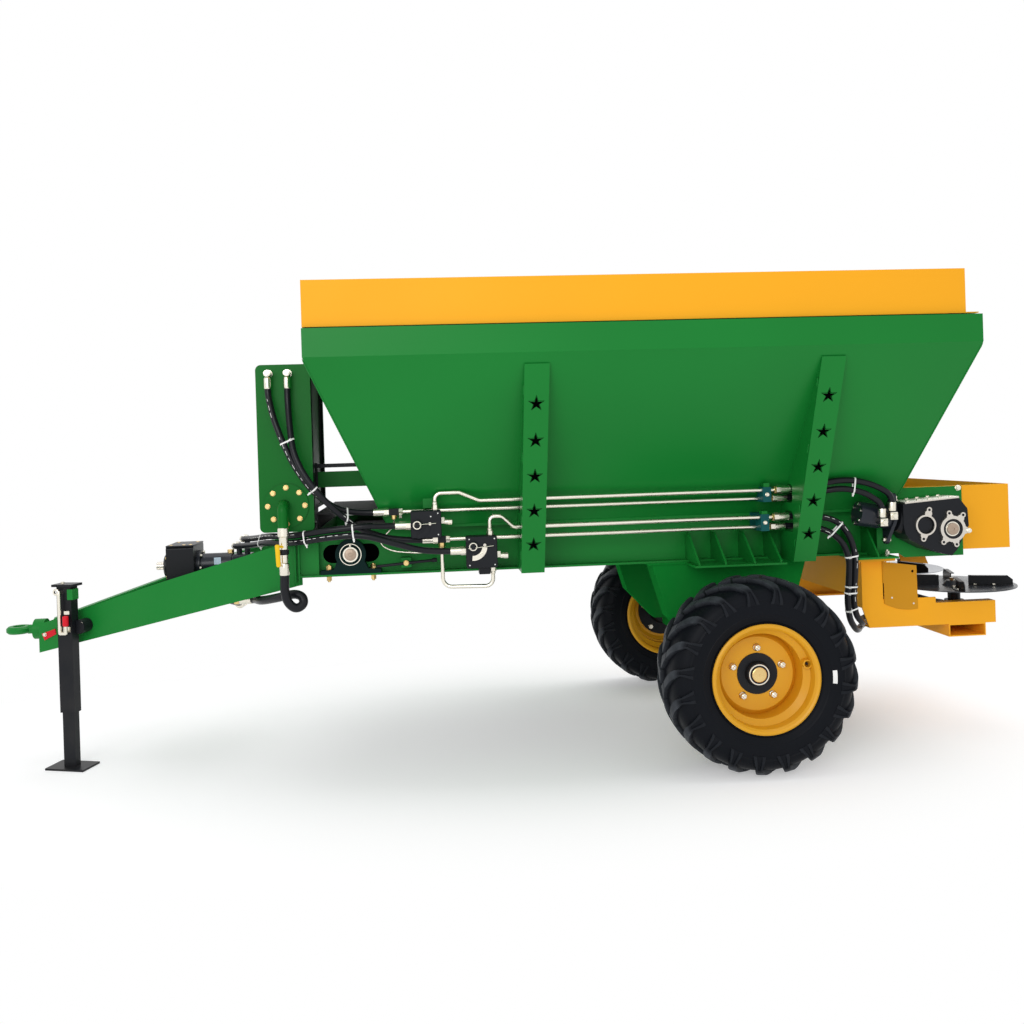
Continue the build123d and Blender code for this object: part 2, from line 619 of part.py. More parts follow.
def nose_tab():
    """Flat tab screwed to the left drawbar plate behind the nose."""
    outline = [(-2933, 549), (-2870, 571), (-2866, 548), (-2920, 521)]
    face = make_face(Polyline(*[((x - NOSE) * hypot(1, FLARE), z) for x, z in outline], close=True))
    tab = extrude(BAR_PLANE * face, -5)
    return other_side(tab)


# ---------------------------------------------------------------- oil tank and input drive
TANK_X = (-1925.0, -1745.0)
TANK_Y = (-500.0, 0.0)
PANEL_REAR = -1710.0                # rear edge of the tank's left-hand panel
PANEL = 10.0
TANK_Z = (BEAM_TOP, 1650.0)
COVER_Z = 1085.0
TANK_PORTS = [-1872.0, -1796.0]     # return ports near the top of the tank's left side
PORT_Y = TANK_Y[0] - 34
PORT_Z = 1612.0
HOSE = 25.0
SUCTION_X = -1826.0
SUCTION_Y = -560.0
COOLER_X = (TANK_X[1], PANEL_REAR + 2)


def oil_tank():
    """Tank with rounded uprights, its cover plate, suction elbow and a brace to the hopper."""
    inner = TANK_Y[0] + PANEL
    tank = block(TANK_X, (inner, TANK_Y[1]), TANK_Z)
    tank = fillet(tank.edges().filter_by(Axis.Y), 22)
    wall = 5.0
    tank -= block((TANK_X[0] + wall, TANK_X[1] - wall), (inner + wall, TANK_Y[1] - wall),
                  (TANK_Z[0] + wall + 8, TANK_Z[1] - wall - 8))
    panel = block((TANK_X[0], PANEL_REAR), (TANK_Y[0], inner), TANK_Z)
    tank += fillet(panel.edges().filter_by(Axis.Y), 22)
    cap = (TANK_X[0] + 100, -140)
    tank += rod((*cap, TANK_Z[1]), (*cap, TANK_Z[1] + 18), 36)
    for x in TANK_PORTS:
        tank += pipe([(x, TANK_Y[0], PORT_Z), (x, PORT_Y, PORT_Z), (x, PORT_Y, PORT_Z - 34)], HOSE, bend=20)
    cover = rod((SUCTION_X + 8, TANK_Y[0] - 6, COVER_Z), (SUCTION_X + 8, TANK_Y[0], COVER_Z), 88)
    elbow = pipe([(SUCTION_X, TANK_Y[0] - 4, COVER_Z + 5), (SUCTION_X, SUCTION_Y, COVER_Z + 5),
                  (SUCTION_X, SUCTION_Y, 970)], 42, bend=42)
    brace_y = (-330.0, -290.0)
    low, high = 1148.0, 1213.0
    front = COOLER_X[1]
    brace = side_plate([(front, low), (front_at(low), low), (front_at(high), high), (front, high)], brace_y)
    brace -= side_plate([(front, low - 5), (front_at(low) + 20, low - 5),
                         (front_at(high) + 20, high - 5), (front, high - 5)], (brace_y[0] + 5, brace_y[1]))
    return tank + cover + elbow, brace


def oil_cooler():
    """Finned cooler between rounded end tanks on the rear of the oil tank, and its stay."""
    back, face = COOLER_X
    z = (1062.0, 1620.0)
    core = block((back, face - 14), (-470, -20), z)
    for y in (-484, -50):
        end = block((back, face), (y, y + 44), z)
        core += fillet(end.edges().filter_by(Axis.Z).group_by(Axis.X)[-1], 14)
    for low in (z[0], z[1] - 12):
        core += block((back, face - 8), (-470, -20), (low, low + 12))
    core += block((face - 14, face), (-334, -286), (1140, 1250))
    low, high = 1230.0, 1246.0
    return core + side_plate([(face, low), (front_at(low), low), (front_at(high), high), (face, high)],
                             (-330, -290))


GEARBOX_X = (-2400.0, -2282.0)
PTO_HEIGHT = 811.0
PTO_TIP = -2465.0
PTO_RADIUS = 17.5
SHELF_TOP = 715.0


def pto_gearbox():
    box = block(GEARBOX_X, (-100, 100), (SHELF_TOP, 900))
    box = fillet(box.edges().filter_by(Axis.X), 10)
    boss = turned([(0, 0), (0, 58), (-18, 58), (-26, 48), (-26, 0)], (GEARBOX_X[0], 0, PTO_HEIGHT), (1, 0, 0))
    bore = rod((GEARBOX_X[0] - 30, 0, PTO_HEIGHT), (GEARBOX_X[0] + 60, 0, PTO_HEIGHT), PTO_RADIUS + RUNNING)
    return box + boss - bore


def pto_shaft():
    """Six-spline stub shaft."""
    shaft = rod((PTO_TIP, 0, PTO_HEIGHT), (GEARBOX_X[0] + 58, 0, PTO_HEIGHT), PTO_RADIUS)
    groove = block((PTO_TIP, PTO_TIP + 34), (-4.5, 4.5), (PTO_HEIGHT + 14.5, PTO_HEIGHT + 20))
    for i in range(6):
        shaft -= groove.rotate(Axis((0, 0, PTO_HEIGHT), (1, 0, 0)), 60 * i)
    return shaft


PORT_X = 198.0             # of the pump's suction port behind the gearbox
OUTLETS = [(216.0, 926.0), (180.0, 896.0)]       # behind the gearbox, height of each pressure elbow
SUCTION_Z = 648.0
SUCTION_HOSE = 36.0
OUTLET_Y = -50.0           # end of the pump's pressure elbows


def hydraulic_pump():
    x = GEARBOX_X[1]
    flange = turned([(0, 0), (0, 64), (16, 64), (16, 48), (150, 48), (150, 40), (158, 40), (158, 0)],
                    (x, 0, PTO_HEIGHT), (1, 0, 0))
    ports = block((x + 158, x + 238), (-42, 42), (PTO_HEIGHT - 42, PTO_HEIGHT + 42))
    ports = fillet(ports.edges().filter_by(Axis.X), 8)
    for behind, z in OUTLETS:
        ports += pipe([(x + behind, 0, PTO_HEIGHT + 42), (x + behind, 0, z), (x + behind, OUTLET_Y, z)],
                      HOSE, bend=24)
    elbow = pipe([(x + PORT_X, 0, PTO_HEIGHT - 42), (x + PORT_X, 0, SUCTION_Z), (x + PORT_X, -70, SUCTION_Z)],
                 SUCTION_HOSE, bend=44)
    return flange + ports + elbow


# ---------------------------------------------------------------- conveyor
def belt():
    """Endless belt round the two rollers."""
    (x0, z0), (x1, z1) = FRONT_ROLLER, REAR_ROLLER
    length = hypot(x1 - x0, z1 - z0)
    tilt = degrees(atan((z1 - z0) / (x1 - x0)))
    place = Plane.XZ * Pos((x0 + x1) / 2, (z0 + z1) / 2) * Rot(0, 0, tilt)
    outer = SlotCenterToCenter(length, 2 * (ROLLER_RADIUS + BELT_THICK))
    inner = SlotCenterToCenter(length, 2 * (ROLLER_RADIUS + 0.2))
    return Pos(0, -BELT_HALF, 0) * extrude(place * (outer - inner), 2 * BELT_HALF, dir=(0, 1, 0))


DRUM_WALL = 8.0


def roller(place, ends):
    """Hollow drum on a through shaft, with a pierced disc near each end."""
    x, z = place
    drum = rod((x, -BELT_HALF, z), (x, BELT_HALF, z), ROLLER_RADIUS)
    drum -= rod((x, -BELT_HALF, z), (x, BELT_HALF, z), ROLLER_RADIUS - DRUM_WALL)
    drum += rod((x, ends[0], z), (x, ends[1], z), ROLLER_SHAFT)
    for y in (-BELT_HALF + 30, BELT_HALF - 40):
        disc = rod((x, y, z), (x, y + 10, z), ROLLER_RADIUS - DRUM_WALL)
        for i in range(4):
            hole = (x + 44 * cos(radians(90 * i)), z + 44 * sin(radians(90 * i)))
            disc -= rod((hole[0], y, hole[1]), (hole[0], y + 10, hole[1]), 11)
        drum += disc - rod((x, y, z), (x, y + 10, z), ROLLER_SHAFT - 1)
    return drum


BEARING_DEPTH = 46.0


def take_up_bearing(side):
    """Pillow block on the beam's lower flange."""
    x, z = FRONT_ROLLER
    foot = BEAM_BOTTOM + 8
    y = (WEB + 3, WEB + 3 + BEARING_DEPTH)
    base = side_plate([(x - 122, foot), (x - 122, foot + 16), (x - 70, foot + 20), (x - 52, z - 20),
                       (x + 52, z - 20), (x + 70, foot + 20), (x + 122, foot + 16), (x + 122, foot)], y)
    house = rod((x, y[0], z), (x, y[1], z), 62)
    bearing = base + house - rod((x, y[0], z), (x, y[1], z), ROLLER_SHAFT + SEAT)
    return bearing if side > 0 else other_side(bearing)


def drive_bearing():
    """Flange bearing of the drive roller on the right-hand plate."""
    x, z = REAR_ROLLER
    face = FRAME_HALF + 8
    plate = block((x - 75, x + 75), (face, face + 14), (z - 75, z + 75))
    plate = fillet(plate.edges().filter_by(Axis.Y), 24)
    house = rod((x, face + 14, z), (x, face + 44, z), 52)
    return plate + house - rod((x, face, z), (x, face + 60, z), ROLLER_SHAFT + SEAT)


def front_guard():
    """Rubber-faced cover over the front roller."""
    top = 1048.0
    front = COOLER_X[1]
    return side_plate([(front, BEAM_TOP), (front, top), (front_at(top) - SEAT, top),
                       (front_at(BEAM_TOP) - SEAT, BEAM_TOP), (front_at(BEAM_TOP) - 6, BEAM_TOP),
                       (front_at(top) - 6, top - 5), (front + 5, top - 5), (front + 5, BEAM_TOP)],
                      (-FRAME_HALF + 4, FRAME_HALF - 4))


# ---------------------------------------------------------------- conveyor drive
DRIVE_FACE = -(FRAME_HALF + 8)


CASE_Y = (DRIVE_FACE - 130, DRIVE_FACE - 12)
CASE = [                    # x, z round the gearbox case
    (691.0, 1005.0), (932.0, 1022.0), (966.0, 978.0), (970.0, 909.0), (918.0, 811.0),
    (893.0, 786.0), (805.0, 811.0), (718.0, 857.0), (699.0, 881.0), (690.0, 920.0),
]
COVER = (782.0, 916.0)      # centre of the two-lug side cover
COVER_LUGS = [(798.0, 979.0), (770.0, 860.0)]
SEAL_LUGS = [(881.0, 962.0), (940.0, 953.0), (963.0, 888.0), (909.0, 833.0), (854.0, 844.0)]
MOTOR_TILT = radians(10)
MOTOR_FACE = (668.0, DRIVE_FACE - 72, 944.0)     # centre of the ear plate
MOTOR_OUT = (-cos(MOTOR_TILT), 0, sin(MOTOR_TILT))
EAR_REACH = (88.0, 90.0)    # from the motor's axis to the upper and the lower ear hole
EAR = 18.0


def gearbox_ring(centre, radii, lugs, depth):
    """A raised ring with round bolt lugs on the near face of the case."""
    face = CASE_Y[0]
    x, z = centre
    piece = rod((x, face - depth, z), (x, face, z), radii[1])
    for u, v in lugs:
        piece += rod((u, face - depth, v), (u, face, v), 11)
        piece += rod((x + 0.75 * (u - x), face - depth, z + 0.75 * (v - z)),
                     (x + 0.75 * (u - x), face, z + 0.75 * (v - z)), 15)
    return piece - rod((x, face - depth, z), (x, face, z), radii[0])


def conveyor_gearbox():
    """Shaft-mounted bevel box: a faceted case, its top cover, and a neck for the motor."""
    x, z = REAR_ROLLER
    case = side_plate(CASE, CASE_Y)
    case += block((702, 928), (CASE_Y[0] + 8, CASE_Y[1] - 4), (1000, 1012))
    case -= rod((x, CASE_Y[0], z), (x, CASE_Y[0] + 6, z), 40)
    case -= rod((COVER[0], CASE_Y[0], COVER[1]), (COVER[0], CASE_Y[0] + 5, COVER[1]), 36)
    neck = turned([(-14, 0), (-14, 40), (-16, 52), (-60, 62), (-60, 0)], MOTOR_FACE, MOTOR_OUT)
    spigot = rod((x, CASE_Y[1], z), (x, DRIVE_FACE, z), 60)
    whole = case + neck + spigot
    return whole - rod((x, CASE_Y[0] - 20, z), (x, DRIVE_FACE, z), ROLLER_SHAFT + SEAT)


def gearbox_rings():
    """Machined rings of the side cover and of the shaft seal."""
    return gearbox_ring(COVER, (36, 43), COVER_LUGS, 9), gearbox_ring(REAR_ROLLER, (41, 54), SEAL_LUGS, 12)


BANJOS = [(640.0, 961.0), (597.0, 936.0)]        # x, z of the two ports on the motor's near side
BANJO_Y = (-612.0, -576.0)
BANJO_HALF = 15.0


def conveyor_motor():
    """Round motor with its ear plate and two ports on the near side."""
    motor = turned([(0, 0), (0, 50), (14, 50), (14, 46), (58, 46), (58, 50), (150, 50), (150, 0)],
                   MOTOR_FACE, MOTOR_OUT)
    plate = Plane(MOTOR_FACE, x_dir=(sin(MOTOR_TILT), 0, cos(MOTOR_TILT)), z_dir=MOTOR_OUT)
    up, down = EAR_REACH
    web = make_face(Polyline((up, EAR), (up, -EAR), (10, -52), (-10, -52), (-down, -EAR), (-down, EAR),
                             (-10, 52), (10, 52), close=True))
    shape = web + Circle(54) + Pos(up, 0) * Circle(EAR) + Pos(-down, 0) * Circle(EAR)
    shape -= Pos(up, 0) * Circle(7) + Pos(-down, 0) * Circle(7)
    motor += extrude(plate * shape, 14)
    for x, z in BANJOS:
        motor += block((x - BANJO_HALF, x + BANJO_HALF), BANJO_Y, (z - BANJO_HALF, z + BANJO_HALF))
    return motor


# ---------------------------------------------------------------- hydraulics on the left side
CLAMPS = [                  # front x, centre z of the blocks that hold the pipes
    (105.0, 1065.0),
    (93.0, 951.0),
]
CLAMP_LENGTH = 34.0
PIPE_PAST = 24.0            # how far the pipes reach behind their clamps, to the hoses
VALVE_Y = (-602.0, -536.0)
VALVES = [                  # x range, z range
    ((-1326.0, -1192.0), (948.0, 1060.0)),
    ((-1111.0, -973.0), (805.0, 948.0)),
]
PIPE = 16.0
PIPE_Y = -566.0
PIPE_BACK_Y = -523.0
LOOP_Y = -551.0
HIGH_Z, THROUGH_Z, LOW_Z, LOWEST_Z = 1083.0, 1047.0, 972.0, 930.0
PIPE_REAR = [front + CLAMP_LENGTH + PIPE_PAST for front, _ in CLAMPS]
TEES = [((-1412.0, -1373.0), THROUGH_Z), ((-1220.0, -1188.0), LOWEST_Z)]     # x range, z
TEE_Y = (PIPE_BACK_Y - 15, PIPE_BACK_Y + 9)
TEE_HALF = 13.0
LOOP_X = -1204.0            # front leg of the loop under the valves
LOOP_REAR = -1004.0
LOOP_Z = 738.0
FEED_Z = (994.0, 885.0)     # where the pump's hoses enter the two valves


def flow_valve(x, z):
    """Valve block with its round dial boss and adjusting spindle."""
    body = block(x, VALVE_Y, z)
    body = fillet(body.edges().filter_by(Axis.Y), 6)
    centre = (x[0] + 45, z[1] - 62)
    dial = rod((centre[0], VALVE_Y[0], centre[1]), (centre[0], VALVE_Y[0] - 8, centre[1]), 40)
    knob = rod((centre[0], VALVE_Y[0] - 8, centre[1]), (centre[0], VALVE_Y[0] - 26, centre[1]), 14)
    return body + dial + knob


def flow_valves():
    """The two valves; the rear one has a small block hung under it."""
    (x1, z1), (x2, z2) = VALVES
    hung = block((x2[0] + 44, x2[0] + 88), (VALVE_Y[0] + 14, VALVE_Y[1] - 6), (z2[0] - 34, z2[0] + 1))
    return flow_valve(x1, z1), flow_valve(x2, z2) + hung


def pressure_pipes():
    (x1, z1), (x2, z2) = VALVES
    end_high, end_low = PIPE_REAR
    high = pipe([(x1[1] - 36, PIPE_Y, z1[1]), (x1[1] - 36, PIPE_Y, 1118), (-1130, PIPE_Y, 1118),
                 (-1050, PIPE_Y, HIGH_Z), (end_high, PIPE_Y, HIGH_Z)], PIPE, bend=30)
    through = pipe([(TEES[0][0][1], PIPE_BACK_Y, THROUGH_Z), (end_high, PIPE_BACK_Y, THROUGH_Z)], PIPE)
    low = pipe([(x2[1] - 39, PIPE_Y, z2[1]), (x2[1] - 39, PIPE_Y, 1018), (-965, PIPE_Y, 1018),
                (-915, PIPE_Y, LOW_Z), (end_low, PIPE_Y, LOW_Z)], PIPE, bend=30)
    lowest = pipe([(TEES[1][0][1], PIPE_BACK_Y, LOWEST_Z), (end_low, PIPE_BACK_Y, LOWEST_Z)], PIPE)
    loop = pipe([(LOOP_X, PIPE_BACK_Y, LOWEST_Z - TEE_HALF), (LOOP_X, PIPE_BACK_Y, LOOP_Z),
                 (LOOP_REAR, LOOP_Y, LOOP_Z), (LOOP_REAR, LOOP_Y, z2[0])], PIPE, bend=36)
    return high, through, low, lowest, loop


def pipe_tees():
    return [block(x, TEE_Y, (z - TEE_HALF, z + TEE_HALF)) for x, z in TEES]


def front_routes():
    """Centre lines: two hoses from the tank to the tees, two from the pump to the valves."""
    (x1, _), (x2, _) = VALVES
    face, under = TANK_Y[0], PORT_Z - 34
    tank_a = [(TANK_PORTS[0], PORT_Y, under), (TANK_PORTS[0], PORT_Y, 1530), (-1852, face - 60, 1440),
              (-1818, face - 74, 1345), (-1772, face - 78, 1240), (-1702, face - 74, 1135),
              (-1612, face - 52, 1064), (-1520, PIPE_BACK_Y, THROUGH_Z),
              (TEES[0][0][0], PIPE_BACK_Y, THROUGH_Z)]
    tank_b = [(TANK_PORTS[1], PORT_Y, under), (TANK_PORTS[1], PORT_Y, 1500), (-1788, face - 60, 1400),
              (-1775, face - 90, 1300), (-1738, face - 106, 1215), (-1672, face - 106, 1120),
              (-1598, face - 82, 1045), (-1530, face - 40, 985), (-1430, -528, 944),
              (-1330, PIPE_BACK_Y, LOWEST_Z), (TEES[1][0][0], PIPE_BACK_Y, LOWEST_Z)]
    (near, near_z), (far, far_z) = OUTLETS
    near, far = GEARBOX_X[1] + near, GEARBOX_X[1] + far
    pump_a = [(near, OUTLET_Y, near_z), (near, -110, near_z), (-1990, -240, 938), (-1912, -390, 958),
              (-1850, -466, 961), (-1775, -530, 968), (-1650, -596, 988), (-1500, -604, 1000),
              (-1420, PIPE_Y, FEED_Z[0]), (x1[0], PIPE_Y, FEED_Z[0])]
    pump_b = [(far, OUTLET_Y, far_z), (far, -116, far_z), (-2004, -250, 910), (-1918, -392, 931),
              (-1850, -466, 933), (-1775, -530, 939), (-1650, -596, 960), (-1520, -604, 968),
              (-1400, -596, 930), (-1290, -580, 894), (-1200, PIPE_Y, FEED_Z[1]), (x2[0], PIPE_Y, FEED_Z[1])]
    return tank_a, tank_b, pump_a, pump_b


def suction_line():
    """Ball valve under the tank's elbow, then the hose that loops under the drawbar."""
    x, y = SUCTION_X, SUCTION_Y
    valve = turned([(0, 0), (0, 24), (20, 26), (26, 34), (74, 34), (80, 26), (110, 24), (110, 0)],
                   (x, y, 970), (0, 0, -1))
    port = GEARBOX_X[1] + PORT_X
    hose = pipe([(x, y, 860), (x, y, 770), (x + 8, y + 4, 690), (x + 60, y + 22, 655),
                 (x + 92, y + 44, 715), (x + 40, y + 70, 750), (x - 60, y + 106, 722),
                 (-1990, -400, 690), (-2068, -290, 655), (port, -180, SUCTION_Z),
                 (port, -70, SUCTION_Z)], SUCTION_HOSE)
    return valve, hose


def pipe_clamps():
    """Split blocks round each pair of pipes, seated on the hopper and the beam."""
    (high_x, high_z), (low_x, low_z) = CLAMPS
    front = PIPE_Y - 16
    low, top = high_z - 30, high_z + 30
    upper = end_plate([(front, low), (front, top), (-side_at(top), top), (-side_at(low), low)],
                      (high_x, high_x + CLAMP_LENGTH))
    lower = block((low_x, low_x + CLAMP_LENGTH), (front, -FRAME_HALF), (low_z - 34, low_z + 34))
    for y, z in ((PIPE_Y, HIGH_Z), (PIPE_BACK_Y, THROUGH_Z)):
        upper -= rod((high_x, y, z), (high_x + CLAMP_LENGTH, y, z), PIPE / 2)
    for y, z in ((PIPE_Y, LOW_Z), (PIPE_BACK_Y, LOWEST_Z)):
        lower -= rod((low_x, y, z), (low_x + CLAMP_LENGTH, y, z), PIPE / 2)
    return upper, lower


def valve_brackets():
    """Angles that hold the flow valves off the hopper and the beam."""
    (x1, z1), (x2, z2) = VALVES
    back = VALVE_Y[1]
    low, top = z1[0] + 60, z1[0] + 66
    upper = end_plate([(back, low), (back, top), (-side_at(top), top), (-side_at(low), low)],
                      (x1[0] + 25, x1[1] - 25))
    lower = block((x2[0] + 25, x2[1] - 25), (back, -WEB), (z2[0] + 70, z2[0] + 76))
    return upper, lower


MOTOR_Y = (-DISC_Y, DISC_Y)
PORTS_Z = 524.0            # of the hose ends on the disc motors
MOTOR_REACH = 40.0         # radius of the disc motors where the hoses enter


def rear_routes():
    """Centre lines: two hoses to the conveyor motor, two to the disc motors, and the link."""
    high, low = PIPE_REAR
    (near, near_z), (far, far_z) = BANJOS
    y = (BANJO_Y[0] + BANJO_Y[1]) / 2
    near_z, far_z = near_z + BANJO_HALF, far_z + BANJO_HALF
    outer = [(high, PIPE_Y, HIGH_Z), (310, PIPE_Y, HIGH_Z), (385, -568, 1108), (475, -578, 1114),
             (565, -587, 1092), (near, y, 1048), (near, y, near_z)]
    inner = [(high, PIPE_BACK_Y, THROUGH_Z), (260, PIPE_BACK_Y, THROUGH_Z), (345, -548, 1066),
             (440, -577, 1081), (530, -588, 1060), (far, y, 1012), (far, y, far_z)]
    disc = DISC_X - MOTOR_REACH
    feed = [(low, PIPE_Y, LOW_Z), (260, PIPE_Y, LOW_Z), (340, -574, 970), (418, -584, 945),
            (464, -586, 880), (486, -582, 800), (484, -572, 700), (480, -560, 620), (498, -545, 548),
            (534, -522, 514), (562, -470, 502), (584, -400, 504), (650, -350, 512), (780, -320, 518),
            (900, -300, 522), (970, MOTOR_Y[0], PORTS_Z), (disc, MOTOR_Y[0], PORTS_Z)]
    back = [(low, PIPE_BACK_Y, LOWEST_Z), (250, PIPE_BACK_Y, LOWEST_Z), (320, -546, 926), (382, -574, 905),
            (432, -586, 860), (458, -584, 790), (457, -575, 700), (452, -565, 615), (468, -550, 532),
            (506, -522, 486), (545, -462, 472), (592, -380, 470), (650, -310, 470), (770, -200, 470),
            (870, 20, 490), (926, 180, 514), (960, MOTOR_Y[1] - 30, PORTS_Z), (985, MOTOR_Y[1], PORTS_Z),
            (disc, MOTOR_Y[1], PORTS_Z)]
    across = DISC_Y - MOTOR_REACH
    link = [(DISC_X, -across, PORTS_Z), (DISC_X, 60 - across, PORTS_Z), (DISC_X + 10, -90, PORTS_Z - 10),
            (DISC_X + 10, 90, PORTS_Z - 10), (DISC_X, across - 60, PORTS_Z), (DISC_X, across, PORTS_Z)]
    return outer, inner, feed, back, link


CRIMP = 42.0               # length of the crimped ferrule on a hose end
NUT = 19.0                 # length of the swivel nut beyond it
FERRULE = 3.0              # thickness of the ferrule on the hose


def fitting(end, towards, gap=0.0):
    """A hexagon nut and a ferrule round the last straight run of a hose."""
    along = (Vector(towards) - Vector(end)).normalized()
    start = Vector(end) + along * gap
    plane = Plane(start, z_dir=along)
    inner = HOSE / 2 + RUNNING
    nut = extrude(plane * (RegularPolygon(HOSE / 2 + FERRULE, 6, major_radius=False) - Circle(inner)), NUT)
    ring = plane.offset(NUT) * (Circle(HOSE / 2 + FERRULE) - Circle(inner))
    return nut + extrude(ring, CRIMP)


def hose_fittings():
    """Fittings on every hose end that shows, and the plugs in the free ports of the valves."""
    tank_a, tank_b, pump_a, pump_b = front_routes()
    outer, inner, feed, back, _ = rear_routes()
    ends = [(route[-1], route[-2]) for route in (tank_a, tank_b, pump_a, pump_b)]
    ends += [(route[0], route[1]) for route in (outer, inner, feed, back)]
    pieces = [fitting(*end) for end in ends]
    for x, z in VALVES:
        y, up = PIPE_Y, z[0] + 55
        pieces.append(rod((x[1], y, up), (x[1] + 14, y, up), 10)
                      + extrude(Plane((x[1] + 14, y, up), z_dir=(1, 0, 0)) * RegularPolygon(12, 6), 16))
    return pieces


# ---------------------------------------------------------------- spinners
ARM_OUT = 450.0
ARM_PLATE = 8.0
ARM_FLANGE = 48.0
MOUNT_FLANGE = (764.0, 776.0)


def spinner_frame():
    """Two hooked channel arms, the rectangular cross tube and a front panel."""
    outline = [(571, MOUNT_FLANGE[0]), (571, 560), (600, ARM_BOTTOM), (ARM_REAR, ARM_BOTTOM),
               (ARM_REAR, ARM_TOP), (895, ARM_TOP), (895, ARM_TOP + 25), (663, ARM_TOP + 25),
               (663, MOUNT_FLANGE[0])]
    web = side_plate(outline, (ARM_OUT - ARM_PLATE, ARM_OUT))
    y = (ARM_OUT - ARM_FLANGE, ARM_OUT)
    arm = web
    arm += block((571, 579), y, (560, MOUNT_FLANGE[0]))
    arm += block((600, ARM_REAR), y, (ARM_BOTTOM, ARM_BOTTOM + ARM_PLATE))
    arm += block((895, ARM_REAR), y, (ARM_TOP - ARM_PLATE, ARM_TOP))
    arm += block((ARM_REAR - ARM_PLATE, ARM_REAR), y, (ARM_BOTTOM, ARM_TOP))
    arm += block((520, 690), (ARM_OUT - 60, ARM_OUT + 60), MOUNT_FLANGE)
    tube_x, tube_z = (951, 1115), (ARM_BOTTOM - 54, ARM_BOTTOM)
    tube = block(tube_x, (-ARM_OUT, ARM_OUT), tube_z)
    tube -= block((tube_x[0] + 5, tube_x[1] - 5), (-ARM_OUT, ARM_OUT), (tube_z[0] + 5, tube_z[1] - 5))
    inside = (-ARM_OUT + ARM_FLANGE, ARM_OUT - ARM_FLANGE)
    shelf = block((tube_x[0], 1150), inside, (ARM_BOTTOM, ARM_BOTTOM + 8))
    panel = block((571, 577), inside, (600, MOUNT_FLANGE[0]))
    return arm + other_side(arm) + tube + shelf + panel


def spinner_motor(side):
    y = side * DISC_Y
    motor = turned([(0, 0), (0, 52), (12, 52), (12, 40), (70, 40), (70, 26), (100, 26), (100, 0)],
                   (DISC_X, y, ARM_BOTTOM + 8), (0, 0, 1))
    return motor - rod((DISC_X, y, ARM_BOTTOM + 50), (DISC_X, y, 600), 12.5 + RUNNING)


VANE_HEIGHT = 45.0
VANE_COUNT = 4


def on_disc(piece, side):
    """A piece built round the disc's axis for the right-hand spinner, put in its place."""
    return Pos(DISC_X, side * DISC_Y, 0) * (piece if side > 0 else other_side(piece))


def vanes():
    """Four folded vanes."""
    z, tip = DISC_Z, DISC_RADIUS - 12
    top = z + 4 + VANE_HEIGHT
    blade = side_plate([(60, z + 2), (60, top), (tip - 22, top), (tip, top - 18), (tip, z + 8.4),
                        (DISC_RADIUS - 60, z + 2)], (-2, 2))
    foot = block((60, DISC_RADIUS - 66), (-2, 24), (z + 2, z + 8))
    cap = block((70, DISC_RADIUS - 40), (-2, 16), (top - 4, top))
    vane = blade + foot + cap
    return [Rot(0, 0, 360 / VANE_COUNT * i + 20) * vane for i in range(VANE_COUNT)]


def spinner(side):
    """Dished disc with its shaft, slotted for the vanes."""
    z = DISC_Z
    disc = turned([(0, 0), (0, 55), (0, DISC_RADIUS - 60), (8, DISC_RADIUS), (12, DISC_RADIUS),
                   (4, DISC_RADIUS - 60), (4, 48), (26, 30), (26, 0)], (0, 0, z), (0, 0, 1))
    disc += rod((0, 0, z), (0, 0, ARM_BOTTOM + 52), 12.5)
    for vane in vanes():
        disc -= vane
    return on_disc(disc, side)


def spinner_vanes(side):
    return [on_disc(vane, side) for vane in vanes()]


def guide_plate(side):
    """Plate ahead of each disc, its lower edge bowed, that keeps the spread off the wheels."""
    edge = (Polyline((814, 549), (812, 733), (667, 754), (667, 575))
            + ThreePointArc((667, 575), (742, 549), (814, 549)))
    plate = extrude(make_face(Plane.XZ * edge), ARM_OUT + 4, dir=(0, 1, 0))
    plate -= block((600, 900), (-1, ARM_OUT), (500, 800))
    plate -= rod((794, 0, 709), (794, 600, 709), 6)
    return plate if side > 0 else other_side(plate)


DEFLECTOR_Y = 350.0


def deflector(side):
    """Short plate under the belt's end, hung from a flange off the rear plate."""
    outline = [(786, 788), (896, 788), (920, 724), (795, 741)]
    plate = side_plate(outline, (DEFLECTOR_Y, DEFLECTOR_Y + 4))
    plate += block((786, 896), (DEFLECTOR_Y, FRAME_HALF), (784, 788))
    return plate if side > 0 else other_side(plate)


def discharge_hood():
    """Three-sided hood behind the belt, hung from the rear plates."""
    front, notch, rear = rear_at(1067) + 9, 955.0, 1234.0
    low, mid, high = 794.0, BEAM_TOP + 5, 1067.0
    outline = [(front, mid), (notch, mid), (notch, low), (rear, low), (rear, high), (front, high)]
    panel = side_plate(outline, (FRAME_HALF - SHEET, FRAME_HALF))
    back = block((rear - SHEET, rear), (-FRAME_HALF, FRAME_HALF), (low, high))
    return panel + other_side(panel) + back


# ---------------------------------------------------------------- build every sub-part
for side, name in ((-1, "left"), (1, "right")):
    save(f"tyre_{name}", tyre(side))
    save(f"wheel_rim_{name}", rim(side))
    save(f"wheel_hub_{name}", hub(side))
    save(f"spinner_{name}", spinner(side))
    save(f"spinner_vanes_{name}", *spinner_vanes(side))
    save(f"hopper_side_{name}", hopper_side(side))
save("axle", axle())
save("chassis_beams", beam(-1), beam(1), front_crossmember())
save("rear_plates", rear_plate(-1), rear_plate(1))
save("conveyor_bed", conveyor_bed())
outriggers = [outrigger(0, 190, (-170, -60, 60, 170), 908, STAND_EDGE, 600),
              outrigger(590, 92, (512, 600), 900, WEB, 560)]
save("outrigger_brackets", *outriggers, *[other_side(piece) for piece in outriggers])
save("hopper_front", hopper_front())
save("hopper_rear", hopper_rear())
save("metering_gate", metering_gate())
